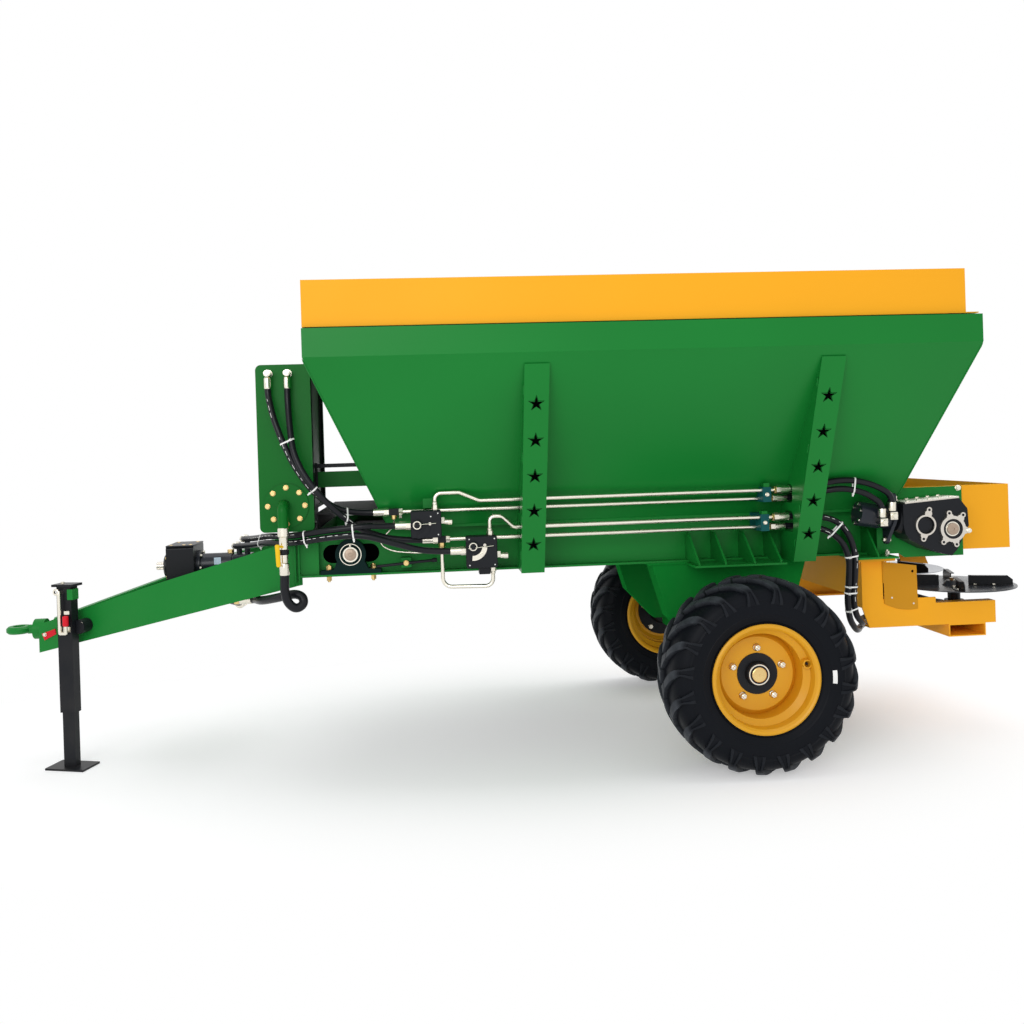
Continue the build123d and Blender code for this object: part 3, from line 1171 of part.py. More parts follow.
save("hopper_rim", hopper_rim())
save("rim_gasket", rim_gasket())
save("hopper_extension", hopper_extension())
posts = [star_post(station) for station in POST_STATIONS]
save("star_posts", *posts, *[other_side(post) for post in posts])
save("drawbar_left", drawbar_side(-1), jack_stub())
save("drawbar_right", drawbar_side(1))
save("drawbar_crosspieces", drawbar_nose(), pump_shelf())
save("tow_eye", tow_eye())
save("jack_post", jack_post())
save("jack_leg", jack_leg())
save("jack_crank", jack_crank())
save("crank_grip", crank_grip())
save("jack_block", jack_block())
save("nose_tab", nose_tab())
save("oil_tank", *oil_tank())
save("oil_cooler", oil_cooler())
save("pto_gearbox", pto_gearbox())
save("pto_shaft", pto_shaft())
save("hydraulic_pump", hydraulic_pump())
save("conveyor_belt", belt())
save("conveyor_rollers", roller(FRONT_ROLLER, (-WEB - 56, WEB + 56)),
     roller(REAR_ROLLER, (DRIVE_FACE - 140, FRAME_HALF + 60)))
save("bearing_housings", take_up_bearing(-1), take_up_bearing(1), drive_bearing())
save("front_guard", front_guard())
save("conveyor_gearbox", conveyor_gearbox())
save("gearbox_rings", *gearbox_rings())
save("conveyor_motor", conveyor_motor())
save("flow_valves", *flow_valves())
save("pressure_pipes", *pressure_pipes())
save("pipe_tees", *pipe_tees())
save("pipe_clamps", *pipe_clamps())
save("valve_brackets", *valve_brackets())
save("hoses_front", *[pipe(route, HOSE) for route in front_routes()])
save("suction_line", *suction_line())
save("hoses_rear", *[pipe(route, HOSE) for route in rear_routes()])
save("hose_fittings", *hose_fittings())
save("spinner_frame", spinner_frame())
save("spinner_motors", spinner_motor(-1), spinner_motor(1))
save("guide_plates", guide_plate(-1), guide_plate(1), deflector(-1), deflector(1))
save("discharge_hood", discharge_hood())
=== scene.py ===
import json
from math import cos, pi, radians, sin

import bpy
import numpy as np
from mathutils import Matrix


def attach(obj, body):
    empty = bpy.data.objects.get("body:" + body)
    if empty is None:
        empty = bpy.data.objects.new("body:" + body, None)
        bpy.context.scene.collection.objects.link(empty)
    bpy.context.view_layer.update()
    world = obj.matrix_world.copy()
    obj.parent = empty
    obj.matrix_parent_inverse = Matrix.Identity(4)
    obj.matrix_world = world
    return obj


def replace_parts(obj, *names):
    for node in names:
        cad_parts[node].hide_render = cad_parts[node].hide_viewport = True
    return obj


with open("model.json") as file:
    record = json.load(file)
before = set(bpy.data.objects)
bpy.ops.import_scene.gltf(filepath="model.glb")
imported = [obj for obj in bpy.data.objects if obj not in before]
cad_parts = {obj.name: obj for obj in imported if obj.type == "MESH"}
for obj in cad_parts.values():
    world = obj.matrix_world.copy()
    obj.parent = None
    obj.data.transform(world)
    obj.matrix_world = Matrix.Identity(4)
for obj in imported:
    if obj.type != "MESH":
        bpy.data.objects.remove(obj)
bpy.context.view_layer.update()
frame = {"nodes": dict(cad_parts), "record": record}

bl_info = {
    "name": "Manure spreader",
    "version": (1, 0, 0),
    "blender": (4, 5, 0),
    "location": "View3D > Sidebar > Spreader",
    "description": "Paintwork, tyres, fasteners and hydraulic fittings for a towed manure spreader",
    "category": "Object",
}

NODES = frame["nodes"]
AXLE_X = 900.0              # station of the axle in the machine's frame, in millimetres
TRACK_HALF = 725.0
AXLE_Z = 380.0


# ---------------------------------------------------------------- surfaces
# Shapes are worked out in millimetres from the axle, the centre line and the ground. A shape is
# (points, faces): points as an array of rows, faces as a list of index arrays of equal width.
NEAR = ((1, 0, 0), (0, 0, 1), (0, -1, 0))       # across, up and out of a face of the left-hand side
TOP = ((1, 0, 0), (0, 1, 0), (0, 0, 1))
OUT, UP, DOWN = NEAR[2], TOP[2], (0, 0, -1)
FORE, AFT = (-1, 0, 0), (1, 0, 0)


def unit(vector):
    vector = np.asarray(vector, float)
    return vector / np.maximum(np.linalg.norm(vector, axis=-1, keepdims=True), 1e-12)


def axes_about(direction):
    """Three square axes, right-handed, the last of them along the direction."""
    along = unit(direction)
    first = unit(np.cross(UP if abs(along[2]) < 0.9 else (0, 1, 0), along))
    return first, np.cross(along, first), along


def skin(points, wrap=False):
    """Faces over rows of points that each close round a loop: quads between the rows, and a flat
    cap on the first and last row, or quads from the last row back to the first."""
    rows, sides = points.shape[:2]
    row, side = np.meshgrid(np.arange(rows if wrap else rows - 1), np.arange(sides), indexing="ij")
    after, beside = (row + 1) % rows, (side + 1) % sides
    quads = np.stack([row * sides + side, row * sides + beside, after * sides + beside,
                      after * sides + side], -1).reshape(-1, 4)
    faces = [quads]
    if not wrap:
        faces += [np.arange(sides)[None, ::-1], (rows - 1) * sides + np.arange(sides)[None]]
    return points.reshape(-1, 3), faces


def turned(profile, centre, direction, sides=24, phase=0.0, wrap=False):
    """centre + height * axis + radius * (cos v * first + sin v * second) for each (height, radius)
    of the profile and v round the circle. A profile that wraps is a closed ring section."""
    first, second, along = axes_about(direction)
    height, radius = np.asarray(profile, float).T
    v = phase + 2 * pi * np.arange(sides) / sides
    spoke = np.cos(v)[:, None] * first + np.sin(v)[:, None] * second
    points = (np.asarray(centre, float) + height[:, None, None] * along
              + radius[:, None, None] * spoke)
    return skin(points, wrap)


def band(centre, direction, low, high, inner, outer, sides=32, edge=0.6):
    """A flat ring from low to high along the axis, its outer edges eased."""
    return turned([(low, inner), (low, outer - edge), (low + edge, outer), (high - edge, outer),
                   (high, outer - edge), (high, inner)], centre, direction, sides, wrap=True)


def stud(centre, direction, radius, length, sides=16, ease=0.12):
    """A round bar with eased ends, from the centre out."""
    rim = radius * (1 - ease)
    lip = radius * ease
    return turned([(0, rim), (lip, radius), (length - lip, radius), (length, rim)], centre,
                  direction, sides)


def hexagon(centre, direction, flats, low, high, phase=0.0):
    """A hexagon bar with both rims chamfered: a turned profile on six sides."""
    radius = flats / 2 / cos(pi / 6)
    ease = 0.09 * radius
    return turned([(low, radius - ease), (low + ease, radius), (high - ease, radius),
                   (high, radius - ease)], centre, direction, 6, phase)


def softened(points, passes=2):
    """Corner cutting: each pass puts two points at a quarter and three quarters of every run."""
    points = np.asarray(points, float)
    for _ in range(passes):
        near, far = 0.75 * points[:-1] + 0.25 * points[1:], 0.25 * points[:-1] + 0.75 * points[1:]
        middle = np.stack([near, far], 1).reshape(-1, points.shape[1])
        points = np.concatenate([points[:1], middle[1:-1], points[-1:]])
    return points


def swept(path, width, height=None, upright=(0, 1, 0), sides=10):
    """An oval section carried along a path: point + cos v * width * side + sin v * height * up,
    where side is square to the run and to the upright, and up is square to both. The sizes are
    half sizes, one number or one for each point."""
    path = np.asarray(path, float)
    run = unit(np.gradient(path, axis=0))
    side = unit(np.cross(run, upright))
    up = np.cross(side, run)
    v = 2 * pi * np.arange(sides) / sides
    width = np.broadcast_to(width, len(path))[:, None, None]
    height = width if height is None else np.broadcast_to(height, len(path))[:, None, None]
    return skin(path[:, None] - width * np.cos(v)[:, None] * side[:, None]
                + height * np.sin(v)[:, None] * up[:, None])


def outline_inset(outline, inset):
    """The outline moved inwards along the mitre of its two edges at each corner."""
    edge = unit(np.roll(outline, -1, 0) - outline)
    out = np.stack([edge[:, 1], -edge[:, 0]], 1)
    before = np.roll(out, 1, 0)
    mitre = (before + out) / (1 + np.sum(before * out, 1))[:, None]
    return outline - inset * mitre


def plate(outline, low, high, place, face=NEAR, ease=0.8):
    """A flat outline, anticlockwise from outside, as thick as low to high, with eased rims."""
    outline = np.asarray(outline, float)
    across, up, out = (np.array(axis, float) for axis in face)
    rows = [(low, ease), (low + ease, 0), (high - ease, 0), (high, ease)]
    points = np.stack([np.asarray(place, float) + ring[:, :1] * across + ring[:, 1:] * up + level * out
                       for level, ring in ((level, outline_inset(outline, inset)) for level, inset in rows)])
    return skin(points)


def rounded(width, height, radius, steps=4):
    """A rectangle of these half sizes: centre of each corner + radius * (cos v, sin v)."""
    v = pi / 2 * (np.arange(4)[:, None] + np.linspace(0, 1, steps + 1))
    corner = np.array([(1, 1), (-1, 1), (-1, -1), (1, -1)]) * (width - radius, height - radius)
    return (corner[:, None] + radius * np.stack([np.cos(v), np.sin(v)], 2)).reshape(-1, 2)


def mirrored(shape):
    """The shape on the other side of the centre line, its faces turned back out."""
    points, faces = shape
    return points * (1, -1, 1), [block[:, ::-1] for block in faces]


def both_sides(shapes):
    return shapes + [mirrored(shape) for shape in shapes]


SLOT_OF = {                 # material slot of the finishes that are not slots themselves
    "gold_zinc": "zinc_steel", "lever_yellow": "zinc_steel", "label": "zinc_steel", "shaft_steel": "bare_steel",
    "painted_shade_yellow": "yellow_paint", "nylon": "hose_rubber", "hollow": "black_paint",
}


def piece(name, shapes, finish, body="machine", slot=None, sharp=34, wear_and_light=None):
    """One object from shapes: points moved into the machine's frame in metres, smooth between
    faces that meet at less than the sharp angle, riding on a body. A number at each point
    holds rubbed rubber and painted light together."""
    slot = slot or SLOT_OF.get(finish, finish)
    points, loops, sizes, start = [], [], [], 0
    for shape_points, faces in shapes:
        points.append(shape_points)
        for block in faces:
            loops.append((block + start).ravel())
            sizes.append(np.full(len(block), block.shape[1]))
        start += len(shape_points)
    points = (np.concatenate(points) + (AXLE_X, 0, 0)) / 1000
    loops, sizes = np.concatenate(loops), np.concatenate(sizes)
    mesh = bpy.data.meshes.new(name)
    mesh.vertices.add(len(points))
    mesh.vertices.foreach_set("co", points.ravel())
    mesh.loops.add(len(loops))
    mesh.loops.foreach_set("vertex_index", loops.astype(np.int32))
    mesh.polygons.add(len(sizes))
    mesh.polygons.foreach_set("loop_start", (np.cumsum(sizes) - sizes).astype(np.int32))
    mesh.update(calc_edges=True)
    if mesh.validate():
        raise ValueError(f"{name} has faces that do not hold together")
    if wear_and_light is not None:
        mesh.attributes.new("wear_and_light", "FLOAT", "POINT").data.foreach_set("value", wear_and_light.astype(np.float32))
    mesh.shade_smooth()
    mesh.set_sharp_from_angle(angle=radians(sharp))
    mesh.materials.append(FINISHES[finish])
    obj = bpy.data.objects.new(name, mesh)
    bpy.context.scene.collection.objects.link(obj)
    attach(obj, body)
    return obj


# ---------------------------------------------------------------- sizes and colours
class SpreaderPaint(bpy.types.PropertyGroup):
    green: bpy.props.FloatVectorProperty(
        name="Green", description="Hopper, chassis and drawbar paint", subtype="COLOR",
        default=(0.006, 0.172, 0.024))
    yellow: bpy.props.FloatVectorProperty(
        name="Yellow", description="Boards, hood and spinner frame paint", subtype="COLOR",
        default=(0.90, 0.40, 0.016))
    rim: bpy.props.FloatVectorProperty(
        name="Rims", description="Wheel paint", subtype="COLOR", default=(0.74, 0.36, 0.012))
    black: bpy.props.FloatVectorProperty(
        name="Black", description="Castings, motors and jack", subtype="COLOR",
        default=(0.008, 0.009, 0.0115))
    red: bpy.props.FloatVectorProperty(
        name="Red", description="Jack grip and nose tab", subtype="COLOR", default=(0.66, 0.008, 0.022))
    roughness: bpy.props.FloatProperty(
        name="Roughness", description="Roughness of the gloss paint", default=0.36, min=0, max=1,
        subtype="FACTOR")


class SpreaderTread(bpy.types.PropertyGroup):
    lugs: bpy.props.IntProperty(
        name="Lugs", description="Lugs round each half of the tyre", default=20, min=12, max=28)
    height: bpy.props.FloatProperty(
        name="Lug height", description="Height of the lugs over the carcass", default=0.0175,
        unit="LENGTH", min=0.008, max=0.019)
    notch: bpy.props.FloatProperty(
        name="Shoulder notch", description="Depth of the notch in the foot of each lug", default=0.005,
        unit="LENGTH", min=0, max=0.006)
    groove: bpy.props.FloatProperty(
        name="Groove", description="Width of the groove across each lug", default=0.005,
        unit="LENGTH", min=0.002, max=0.01)


class SpreaderFittings(bpy.types.PropertyGroup):
    washer: bpy.props.FloatProperty(
        name="Washer", description="Washer radius over half the spanner size", default=1.3, min=1.1, max=1.6)
    head: bpy.props.FloatProperty(
        name="Head", description="Height of a bolt head over the spanner size", default=0.42, min=0.3, max=0.8)
    tie: bpy.props.FloatProperty(
        name="Tie width", description="Width of the nylon ties round the hoses", default=0.006,
        unit="LENGTH", min=0.003, max=0.01)
    dash: bpy.props.FloatProperty(
        name="Dash", description="Length of one dash of the line along a hose", default=0.020,
        unit="LENGTH", min=0.008, max=0.05)
    weld: bpy.props.FloatProperty(
        name="Weld", description="Half width of a weld bead", default=0.0035, unit="LENGTH",
        min=0.002, max=0.006)


class SpreaderStage(bpy.types.PropertyGroup):
    floor_size: bpy.props.FloatProperty(
        name="Floor size", description="Edge of the floor", default=60, unit="LENGTH")
    key: bpy.props.FloatProperty(
        name="Key light", description="Power of the large front light", default=194, unit="POWER")
    fill: bpy.props.FloatProperty(
        name="Fill light", description="Power of the light over the machine", default=170, unit="POWER")
    world: bpy.props.FloatProperty(
        name="Sky", description="Strength of the even light from all round", default=0.66, min=0)


# ---------------------------------------------------------------- shader groups
def node_group(name, inputs, outputs):
    """An empty shader group with float sockets by these names, except Vector."""
    group = bpy.data.node_groups.new(name, "ShaderNodeTree")
    for socket, default in inputs:
        kind = "NodeSocketVector" if socket == "Vector" else "NodeSocketFloat"
        item = group.interface.new_socket(socket, in_out="INPUT", socket_type=kind)
        if kind == "NodeSocketFloat":
            item.default_value = default
    for socket in outputs:
        group.interface.new_socket(socket, in_out="OUTPUT", socket_type="NodeSocketFloat")
    source = group.nodes.new("NodeGroupInput")
    sink = group.nodes.new("NodeGroupOutput")
    return group, source, sink


def noise(tree, vector, scale, detail=3.0, rough=0.5):
    node = tree.nodes.new("ShaderNodeTexNoise")
    node.inputs["Detail"].default_value = detail
    node.inputs["Roughness"].default_value = rough
    if isinstance(scale, (int, float)):
        node.inputs["Scale"].default_value = scale
    else:
        tree.links.new(scale, node.inputs["Scale"])
    tree.links.new(vector, node.inputs["Vector"])
    return node.outputs["Fac"]


def remap(tree, value, low, high, to_low=0.0, to_high=1.0):
    node = tree.nodes.new("ShaderNodeMapRange")
    for socket, number in zip(("From Min", "From Max", "To Min", "To Max"), (low, high, to_low, to_high)):
        node.inputs[socket].default_value = number
    tree.links.new(value, node.inputs["Value"])
    return node.outputs["Result"]


def math(tree, operation, a, b=0.0):
    node = tree.nodes.new("ShaderNodeMath")
    node.operation = operation
    for socket, value in zip(node.inputs, (a, b)):
        if isinstance(value, (int, float)):
            socket.default_value = value
        else:
            tree.links.new(value, socket)
    return node.outputs["Value"]


def colour_mix(tree, factor, a, b):
    """Between two colours, each a plain colour or a socket."""
    node = tree.nodes.new("ShaderNodeMix")
    node.data_type = "RGBA"
    tree.links.new(factor, node.inputs["Factor"])
    for socket, value in ((node.inputs[6], a), (node.inputs[7], b)):
        if isinstance(value, tuple):
            socket.default_value = (*value, 1)
        else:
            tree.links.new(value, socket)
    return node.outputs[2]


def film_group():
    """Uneven film: broad cloudy change, fine speckle and a ripple height, all from noise."""
    group, source, sink = node_group(
        "surface film", [("Vector", 0), ("Cloud scale", 2.0), ("Speckle scale", 60.0), ("Ripple scale", 220.0)],
        ["Cloud", "Speckle", "Ripple"])
    vector = source.outputs["Vector"]
    cloud = noise(group, vector, source.outputs["Cloud scale"], 2.0)
    speckle = noise(group, vector, source.outputs["Speckle scale"], 4.0, 0.65)
    ripple = noise(group, vector, source.outputs["Ripple scale"], 1.0)
    group.links.new(remap(group, cloud, 0.3, 0.7), sink.inputs["Cloud"])
    group.links.new(remap(group, speckle, 0.45, 0.75), sink.inputs["Speckle"])
    group.links.new(ripple, sink.inputs["Ripple"])
    return group


def dust_group():
    """Dust that settles low down and on upward faces: a mask from the height over the ground, the
    upward part of the normal and a patchy noise."""
    group, source, sink = node_group(
        "road dust", [("Vector", 0), ("Ground", 0.0), ("Reach", 0.9), ("Upward", 0.3)], ["Dust"])
    vector = source.outputs["Vector"]
    split = group.nodes.new("ShaderNodeSeparateXYZ")
    group.links.new(vector, split.inputs["Vector"])
    height = math(group, "DIVIDE", math(group, "SUBTRACT", split.outputs["Z"], source.outputs["Ground"]),
                  source.outputs["Reach"])
    low = remap(group, height, 0.0, 1.0, 1.0, 0.0)
    normal = group.nodes.new("ShaderNodeNewGeometry")
    facing = group.nodes.new("ShaderNodeSeparateXYZ")
    group.links.new(normal.outputs["Normal"], facing.inputs["Vector"])
    up = math(group, "MULTIPLY", math(group, "MAXIMUM", facing.outputs["Z"], 0.0), source.outputs["Upward"])
    patch = remap(group, noise(group, vector, 9.0, 5.0, 0.6), 0.38, 0.68)
    total = math(group, "MULTIPLY", math(group, "ADD", low, up), patch)
    group.links.new(math(group, "MINIMUM", total, 1.0), sink.inputs["Dust"])
    return group


FILM, DUST = film_group(), dust_group()
DUST_COLOUR = (0.27, 0.22, 0.17)
DRIFT = 0.04                # change of roughness either way with the film


def grouped(tree, group, place, *numbers):
    """The outputs of a shader group read at a place, with these (input, number) pairs set."""
    node = tree.nodes.new("ShaderNodeGroup")
    node.node_tree = group
    for socket, number in numbers:
        node.inputs[socket].default_value = number
    tree.links.new(place, node.inputs["Vector"])
    return node.outputs


def finish(name, colour, tint, roughness, metallic=0.0, ripple=(0.0002, 220.0), clouds=2.0,
           speckle=(0.0, 60.0), dust=0.04, specular=0.5, shade=None):
    """One surface: two mixed colours, a little dust, roughness that drifts with the film, and a
    fine bump. Shade, where given, adds its own colour change from the object's coordinates."""
    material = bpy.data.materials.new(name)
    material.use_nodes = True
    tree = material.node_tree
    shader = tree.nodes["Principled BSDF"]
    place = tree.nodes.new("ShaderNodeTexCoord").outputs["Object"]
    film = grouped(tree, FILM, place, ("Cloud scale", clouds), ("Speckle scale", speckle[1]),
                   ("Ripple scale", ripple[1]))
    amount = math(tree, "ADD", math(tree, "MULTIPLY", film["Cloud"], 0.6),
                  math(tree, "MULTIPLY", film["Speckle"], speckle[0]))
    base = colour_mix(tree, amount, colour, tint)
    if shade:
        base = shade(tree, place, base)
    settled = grouped(tree, DUST, place)["Dust"]
    base = colour_mix(tree, math(tree, "MULTIPLY", settled, dust), base, DUST_COLOUR)
    tree.links.new(base, shader.inputs["Base Color"])
    rough = remap(tree, film["Cloud"], 0, 1, roughness - DRIFT, roughness + DRIFT)
    rough = math(tree, "ADD", rough, math(tree, "MULTIPLY", settled, 0.6 * dust))
    tree.links.new(rough, shader.inputs["Roughness"])
    bump = tree.nodes.new("ShaderNodeBump")
    bump.inputs["Distance"].default_value = ripple[0]
    bump.inputs["Strength"].default_value = 0.6
    tree.links.new(film["Ripple"], bump.inputs["Height"])
    tree.links.new(bump.outputs["Normal"], shader.inputs["Normal"])
    shader.inputs["Metallic"].default_value = metallic
    shader.inputs["Specular IOR Level"].default_value = specular
    return material


def scaled(colour, factor):
    return tuple(np.minimum(1, np.multiply(colour, factor)).tolist())


def lit_and_rubbed_tread(tree, place, base):
    """Greyer lug faces from a number held at each point of the tyre: rubbed rubber and painted light."""
    wear_and_light = tree.nodes.new("ShaderNodeAttribute")
    wear_and_light.attribute_name = "wear_and_light"
    patch = remap(tree, noise(tree, place, 26.0, 5.0, 0.6), 0.3, 0.6, 0.55, 1.0)
    mask = math(tree, "MULTIPLY", wear_and_light.outputs["Fac"], patch)
    return colour_mix(tree, mask, base, (0.046, 0.051, 0.060))


METAL = dict(metallic=1.0, ripple=(0.0001, 500))


def make_finishes(paint):
    green, yellow, rim, black, red = map(tuple, (paint.green, paint.yellow, paint.rim, paint.black, paint.red))
    gloss = paint.roughness
    rows = {                # two colours, roughness, and what differs from the plain surface
        "green_paint": (green, scaled(green, 1.22), gloss, dict(clouds=1.3, specular=0.16)),
        "tank_green": (scaled(green, (0.35, 0.68, 0.5)), scaled(green, (0.6, 0.8, 0.65)), gloss,
                       dict(clouds=1.6, specular=0.12)),
        "matt_green": (green, scaled(green, 1.15), 0.6, dict(clouds=1.3, specular=0.0)),
        "yellow_paint": (yellow, scaled(yellow, 0.93), gloss + 0.08, dict(specular=0.12)),
        # painted shade: the yellow paint darkened for guide plates that sit in shade, angled away from the light
        "painted_shade_yellow": (scaled(yellow, 0.66), scaled(yellow, 0.58), gloss + 0.1, dict(specular=0.12)),
        "rim_paint": (rim, scaled(rim, 0.86), 0.34, dict(dust=0.05, specular=0.3)),
        "black_paint": (black, scaled(black, 1.6), 0.36, dict(ripple=(0.0004, 160), specular=0.16)),
        "housing_paint": ((0.003, 0.014, 0.013), (0.006, 0.024, 0.022), 0.5, dict(specular=0.05)),
        "motor_paint": ((0.010, 0.013, 0.020), (0.022, 0.027, 0.038), 0.3,
                        dict(ripple=(0.0004, 160), clouds=9, specular=0.3)),
        # painted shade: near black without gloss, standing in for the dark inside slots and hollow posts
        "hollow": ((0.0008, 0.0009, 0.001), (0.0014, 0.0014, 0.0016), 0.9, dict(specular=0.0, dust=0.0)),
        "disc_paint": ((0.016, 0.019, 0.026), (0.05, 0.055, 0.065), 0.3,
                       dict(speckle=(0.5, 45), clouds=6, specular=0.3)),
        "red_paint": (red, scaled(red, 0.85), 0.34, dict(clouds=12, specular=0.2)),
        "clamp_plastic": ((0.003, 0.075, 0.08), (0.005, 0.10, 0.10), 0.45,
                          dict(ripple=(0.0003, 300), clouds=20, specular=0.15)),
        "tyre_rubber": ((0.0034, 0.0044, 0.0066), (0.0058, 0.0070, 0.0102), 0.45,
                        dict(ripple=(0.0003, 400), speckle=(0.3, 90), dust=0.004, specular=0.08, shade=lit_and_rubbed_tread)),
        "belt_rubber": ((0.014, 0.014, 0.016), (0.03, 0.03, 0.032), 0.7,
                        dict(ripple=(0.0005, 300), speckle=(0.3, 90), specular=0.12)),
        "hose_rubber": ((0.006, 0.0065, 0.009), (0.011, 0.012, 0.016), 0.30,
                        dict(ripple=(0.0002, 600), specular=0.22, dust=0.01)),
        "bare_steel": ((0.74, 0.70, 0.64), (0.60, 0.56, 0.50), 0.34, dict(METAL, speckle=(0.4, 140))),
        "zinc_steel": ((0.88, 0.84, 0.73), (0.76, 0.71, 0.60), 0.26, dict(METAL, speckle=(0.3, 200), clouds=12)),
        "stainless": ((0.42, 0.43, 0.45), (0.30, 0.31, 0.33), 0.30,
                      dict(METAL, ripple=(0.0001, 300), speckle=(0.3, 100))),
        "gold_zinc": ((0.84, 0.62, 0.27), (0.68, 0.47, 0.20), 0.26, dict(METAL, speckle=(0.4, 160), clouds=14)),
        "shaft_steel": ((0.36, 0.27, 0.20), (0.50, 0.40, 0.32), 0.42,
                        dict(metallic=0.8, ripple=(0.0001, 400), speckle=(0.4, 120), clouds=20)),
        "nylon": ((0.86, 0.86, 0.84), (0.76, 0.76, 0.74), 0.4, dict(clouds=30, specular=0.2, dust=0.0)),
        "label": ((0.55, 0.68, 0.80), (0.45, 0.58, 0.70), 0.35, dict(clouds=25, specular=0.2)),
        "lever_yellow": ((0.84, 0.52, 0.01), (0.74, 0.42, 0.01), 0.45, dict(clouds=20, specular=0.2)),
    }
    return {key: finish(key.replace("_", " "), *row[:3], **row[3]) for key, row in rows.items()}


FINISHES = {}
# the guide plates take the painted-shade yellow, darker than their own paint
OWN_FINISH = {"guide_plates": "painted_shade_yellow", "oil_tank": "tank_green", "axle": "matt_green",
              "bearing_housings": "housing_paint", "conveyor_motor": "motor_paint", "hydraulic_pump": "motor_paint"}


class SPREADER_OT_paintwork(bpy.types.Operator):
    """Give every CAD node the finish of its material slot"""
    bl_idname = "spreader.paintwork"
    bl_label = "Paintwork"

    def execute(self, context):
        FINISHES.update(make_finishes(context.scene.spreader_paint))
        slots = {part["node"]: part["material_slot"] for part in frame["record"]["subparts"]}
        for name, node in NODES.items():
            node.data.materials.clear()
            node.data.materials.append(FINISHES[OWN_FINISH.get(name, slots[name])])
        return {"FINISHED"}


# ---------------------------------------------------------------- tyres
OUTLINE = softened([(0, 362.4), (40, 361.5), (78, 357), (104, 347), (121, 330), (129.5, 308),
                    (131.5, 286), (129, 262), (122, 238), (114, 220), (111, 212), (111, 198)], 3)
TRAVEL = np.concatenate([[0], np.cumsum(np.hypot(*np.diff(OUTLINE, axis=0).T))])
LENGTHS = np.arange(0, TRAVEL[-1] + 2, 2.2)
CARCASS = np.stack([np.interp(LENGTHS, TRAVEL, column) for column in OUTLINE.T], 1)


def carcass_at(t):
    """Across, radius, and the outward normal of the carcass at a length t from the crown's middle,
    by linear reading of its softened outline."""
    run = unit(np.gradient(OUTLINE, axis=0))
    return [np.interp(t, TRAVEL, column) for column in (*OUTLINE.T, -run[:, 1], run[:, 0])]


def tyre_carcass(side):
    """The outline of one half, its mirror image and the inner wall, turned about the axle, with two
    fine raised rings: height * exp(-(distance / width) squared) added across the sidewall."""
    across, radius = CARCASS.T
    across = across + sum(2.2 * np.exp(-((radius - ring) / 1.9) ** 2) for ring in (301, 247, 222))
    outer = np.stack([np.concatenate([-across[::-1], across[1:]]),
                      np.concatenate([radius[::-1], radius[1:]])], 1)
    inner = softened([(95, 198), (98, 230), (109, 285), (98, 325), (60, 341), (0, 344)], 2)
    inner = np.concatenate([inner, (inner * (-1, 1))[-2::-1]])
    return turned(np.concatenate([outer, inner]), (0, side * TRACK_HALF, AXLE_Z), (0, 1, 0), 120, wrap=True)


LUG_PATH = [                # along the carcass, degrees back from the middle, half width, height share
    (2.0, 0.2, 26.0, 0.99), (20.0, 2.4, 21.5, 1.0), (38.0, 5.0, 16.5, 1.0), (60.0, 8.2, 16.5, 1.0),
    (84.0, 11.8, 17.5, 1.0), (104.0, 14.4, 18.0, 1.0), (117.0, 15.8, 16.0, 1.0), (127.0, 16.6, 12.5, 0.90),
    (138.0, 17.0, 15.5, 0.72), (152.0, 17.2, 20.0, 0.56), (165.0, 17.4, 24.5, 0.42), (171.0, 17.5, 25.5, 0.1),
]
TYRE_REACH = 379.8          # the lugs end within the wheel's radius


def lug(start, end, tread, flip):
    """A bar carried along the carcass between two lengths: base and top corners at plus and minus
    its half width round the tyre, raised along the carcass normal, and notched down the middle of
    its foot. Repeated by turning through equal angles."""
    along, back, width, share = np.array(LUG_PATH).T
    t = np.unique(np.concatenate([np.linspace(start, end, max(4, int((end - start) / 11))),
                                  [c for c in (125.0, 127.0) if start < c < end]]))
    t = np.clip(t, start, end)
    back, width, share = (np.interp(t, along, column) for column in (back, width, share))
    height = tread.height * 1000 * share
    foot = ((t > 126) & (t < 170)) * np.minimum(tread.notch * 1000, 0.85 * height)
    across, radius, out_across, out_radius = carcass_at(t)
    offset = np.array([-1.04, -0.96, -0.46, -0.40, 0.40, 0.46, 0.96, 1.04])
    rise = np.stack([0 * t - 4, height, height, height - foot, height - foot, height, height, 0 * t - 4], 1)
    spread = offset * width[:, None]
    reach = np.minimum(radius[:, None] + rise * out_radius[:, None], TYRE_REACH)
    angle = radians(9) * flip - np.radians(back)[:, None] + spread / reach
    sideways = (-1 if flip else 1) * (across[:, None] + rise * out_across[:, None])
    # Painted light and rubbing: lug faces greyest on the crown, which faces the light, less so towards the foot; the
    # notch floor darkest, as painted shade.
    crown = np.clip((121 - t) / 12, 0, 1)
    rim, middle = 0.22 + 0.78 * crown, 0.05 + 0.95 * crown
    worn_and_lit = np.stack([0 * t, rim, rim, middle, middle, rim, rim, 0 * t], 1)
    shapes = []
    for turn in 2 * pi * np.arange(tread.lugs) / tread.lugs:
        points = np.stack([reach * np.cos(angle + turn), sideways, reach * np.sin(angle + turn)], 2)
        shapes.append((skin(points if flip else points[:, ::-1]), worn_and_lit.ravel()))
    return shapes


def tyre(side, tread):
    half = tread.groove * 500
    shapes = []
    for flip in (0, 1):
        shapes += lug(2.0, 40 - half, tread, flip) + lug(40 + half, 172.0, tread, flip)
    return [((points + (0, side * TRACK_HALF, AXLE_Z), faces), worn_and_lit) for (points, faces), worn_and_lit in shapes]


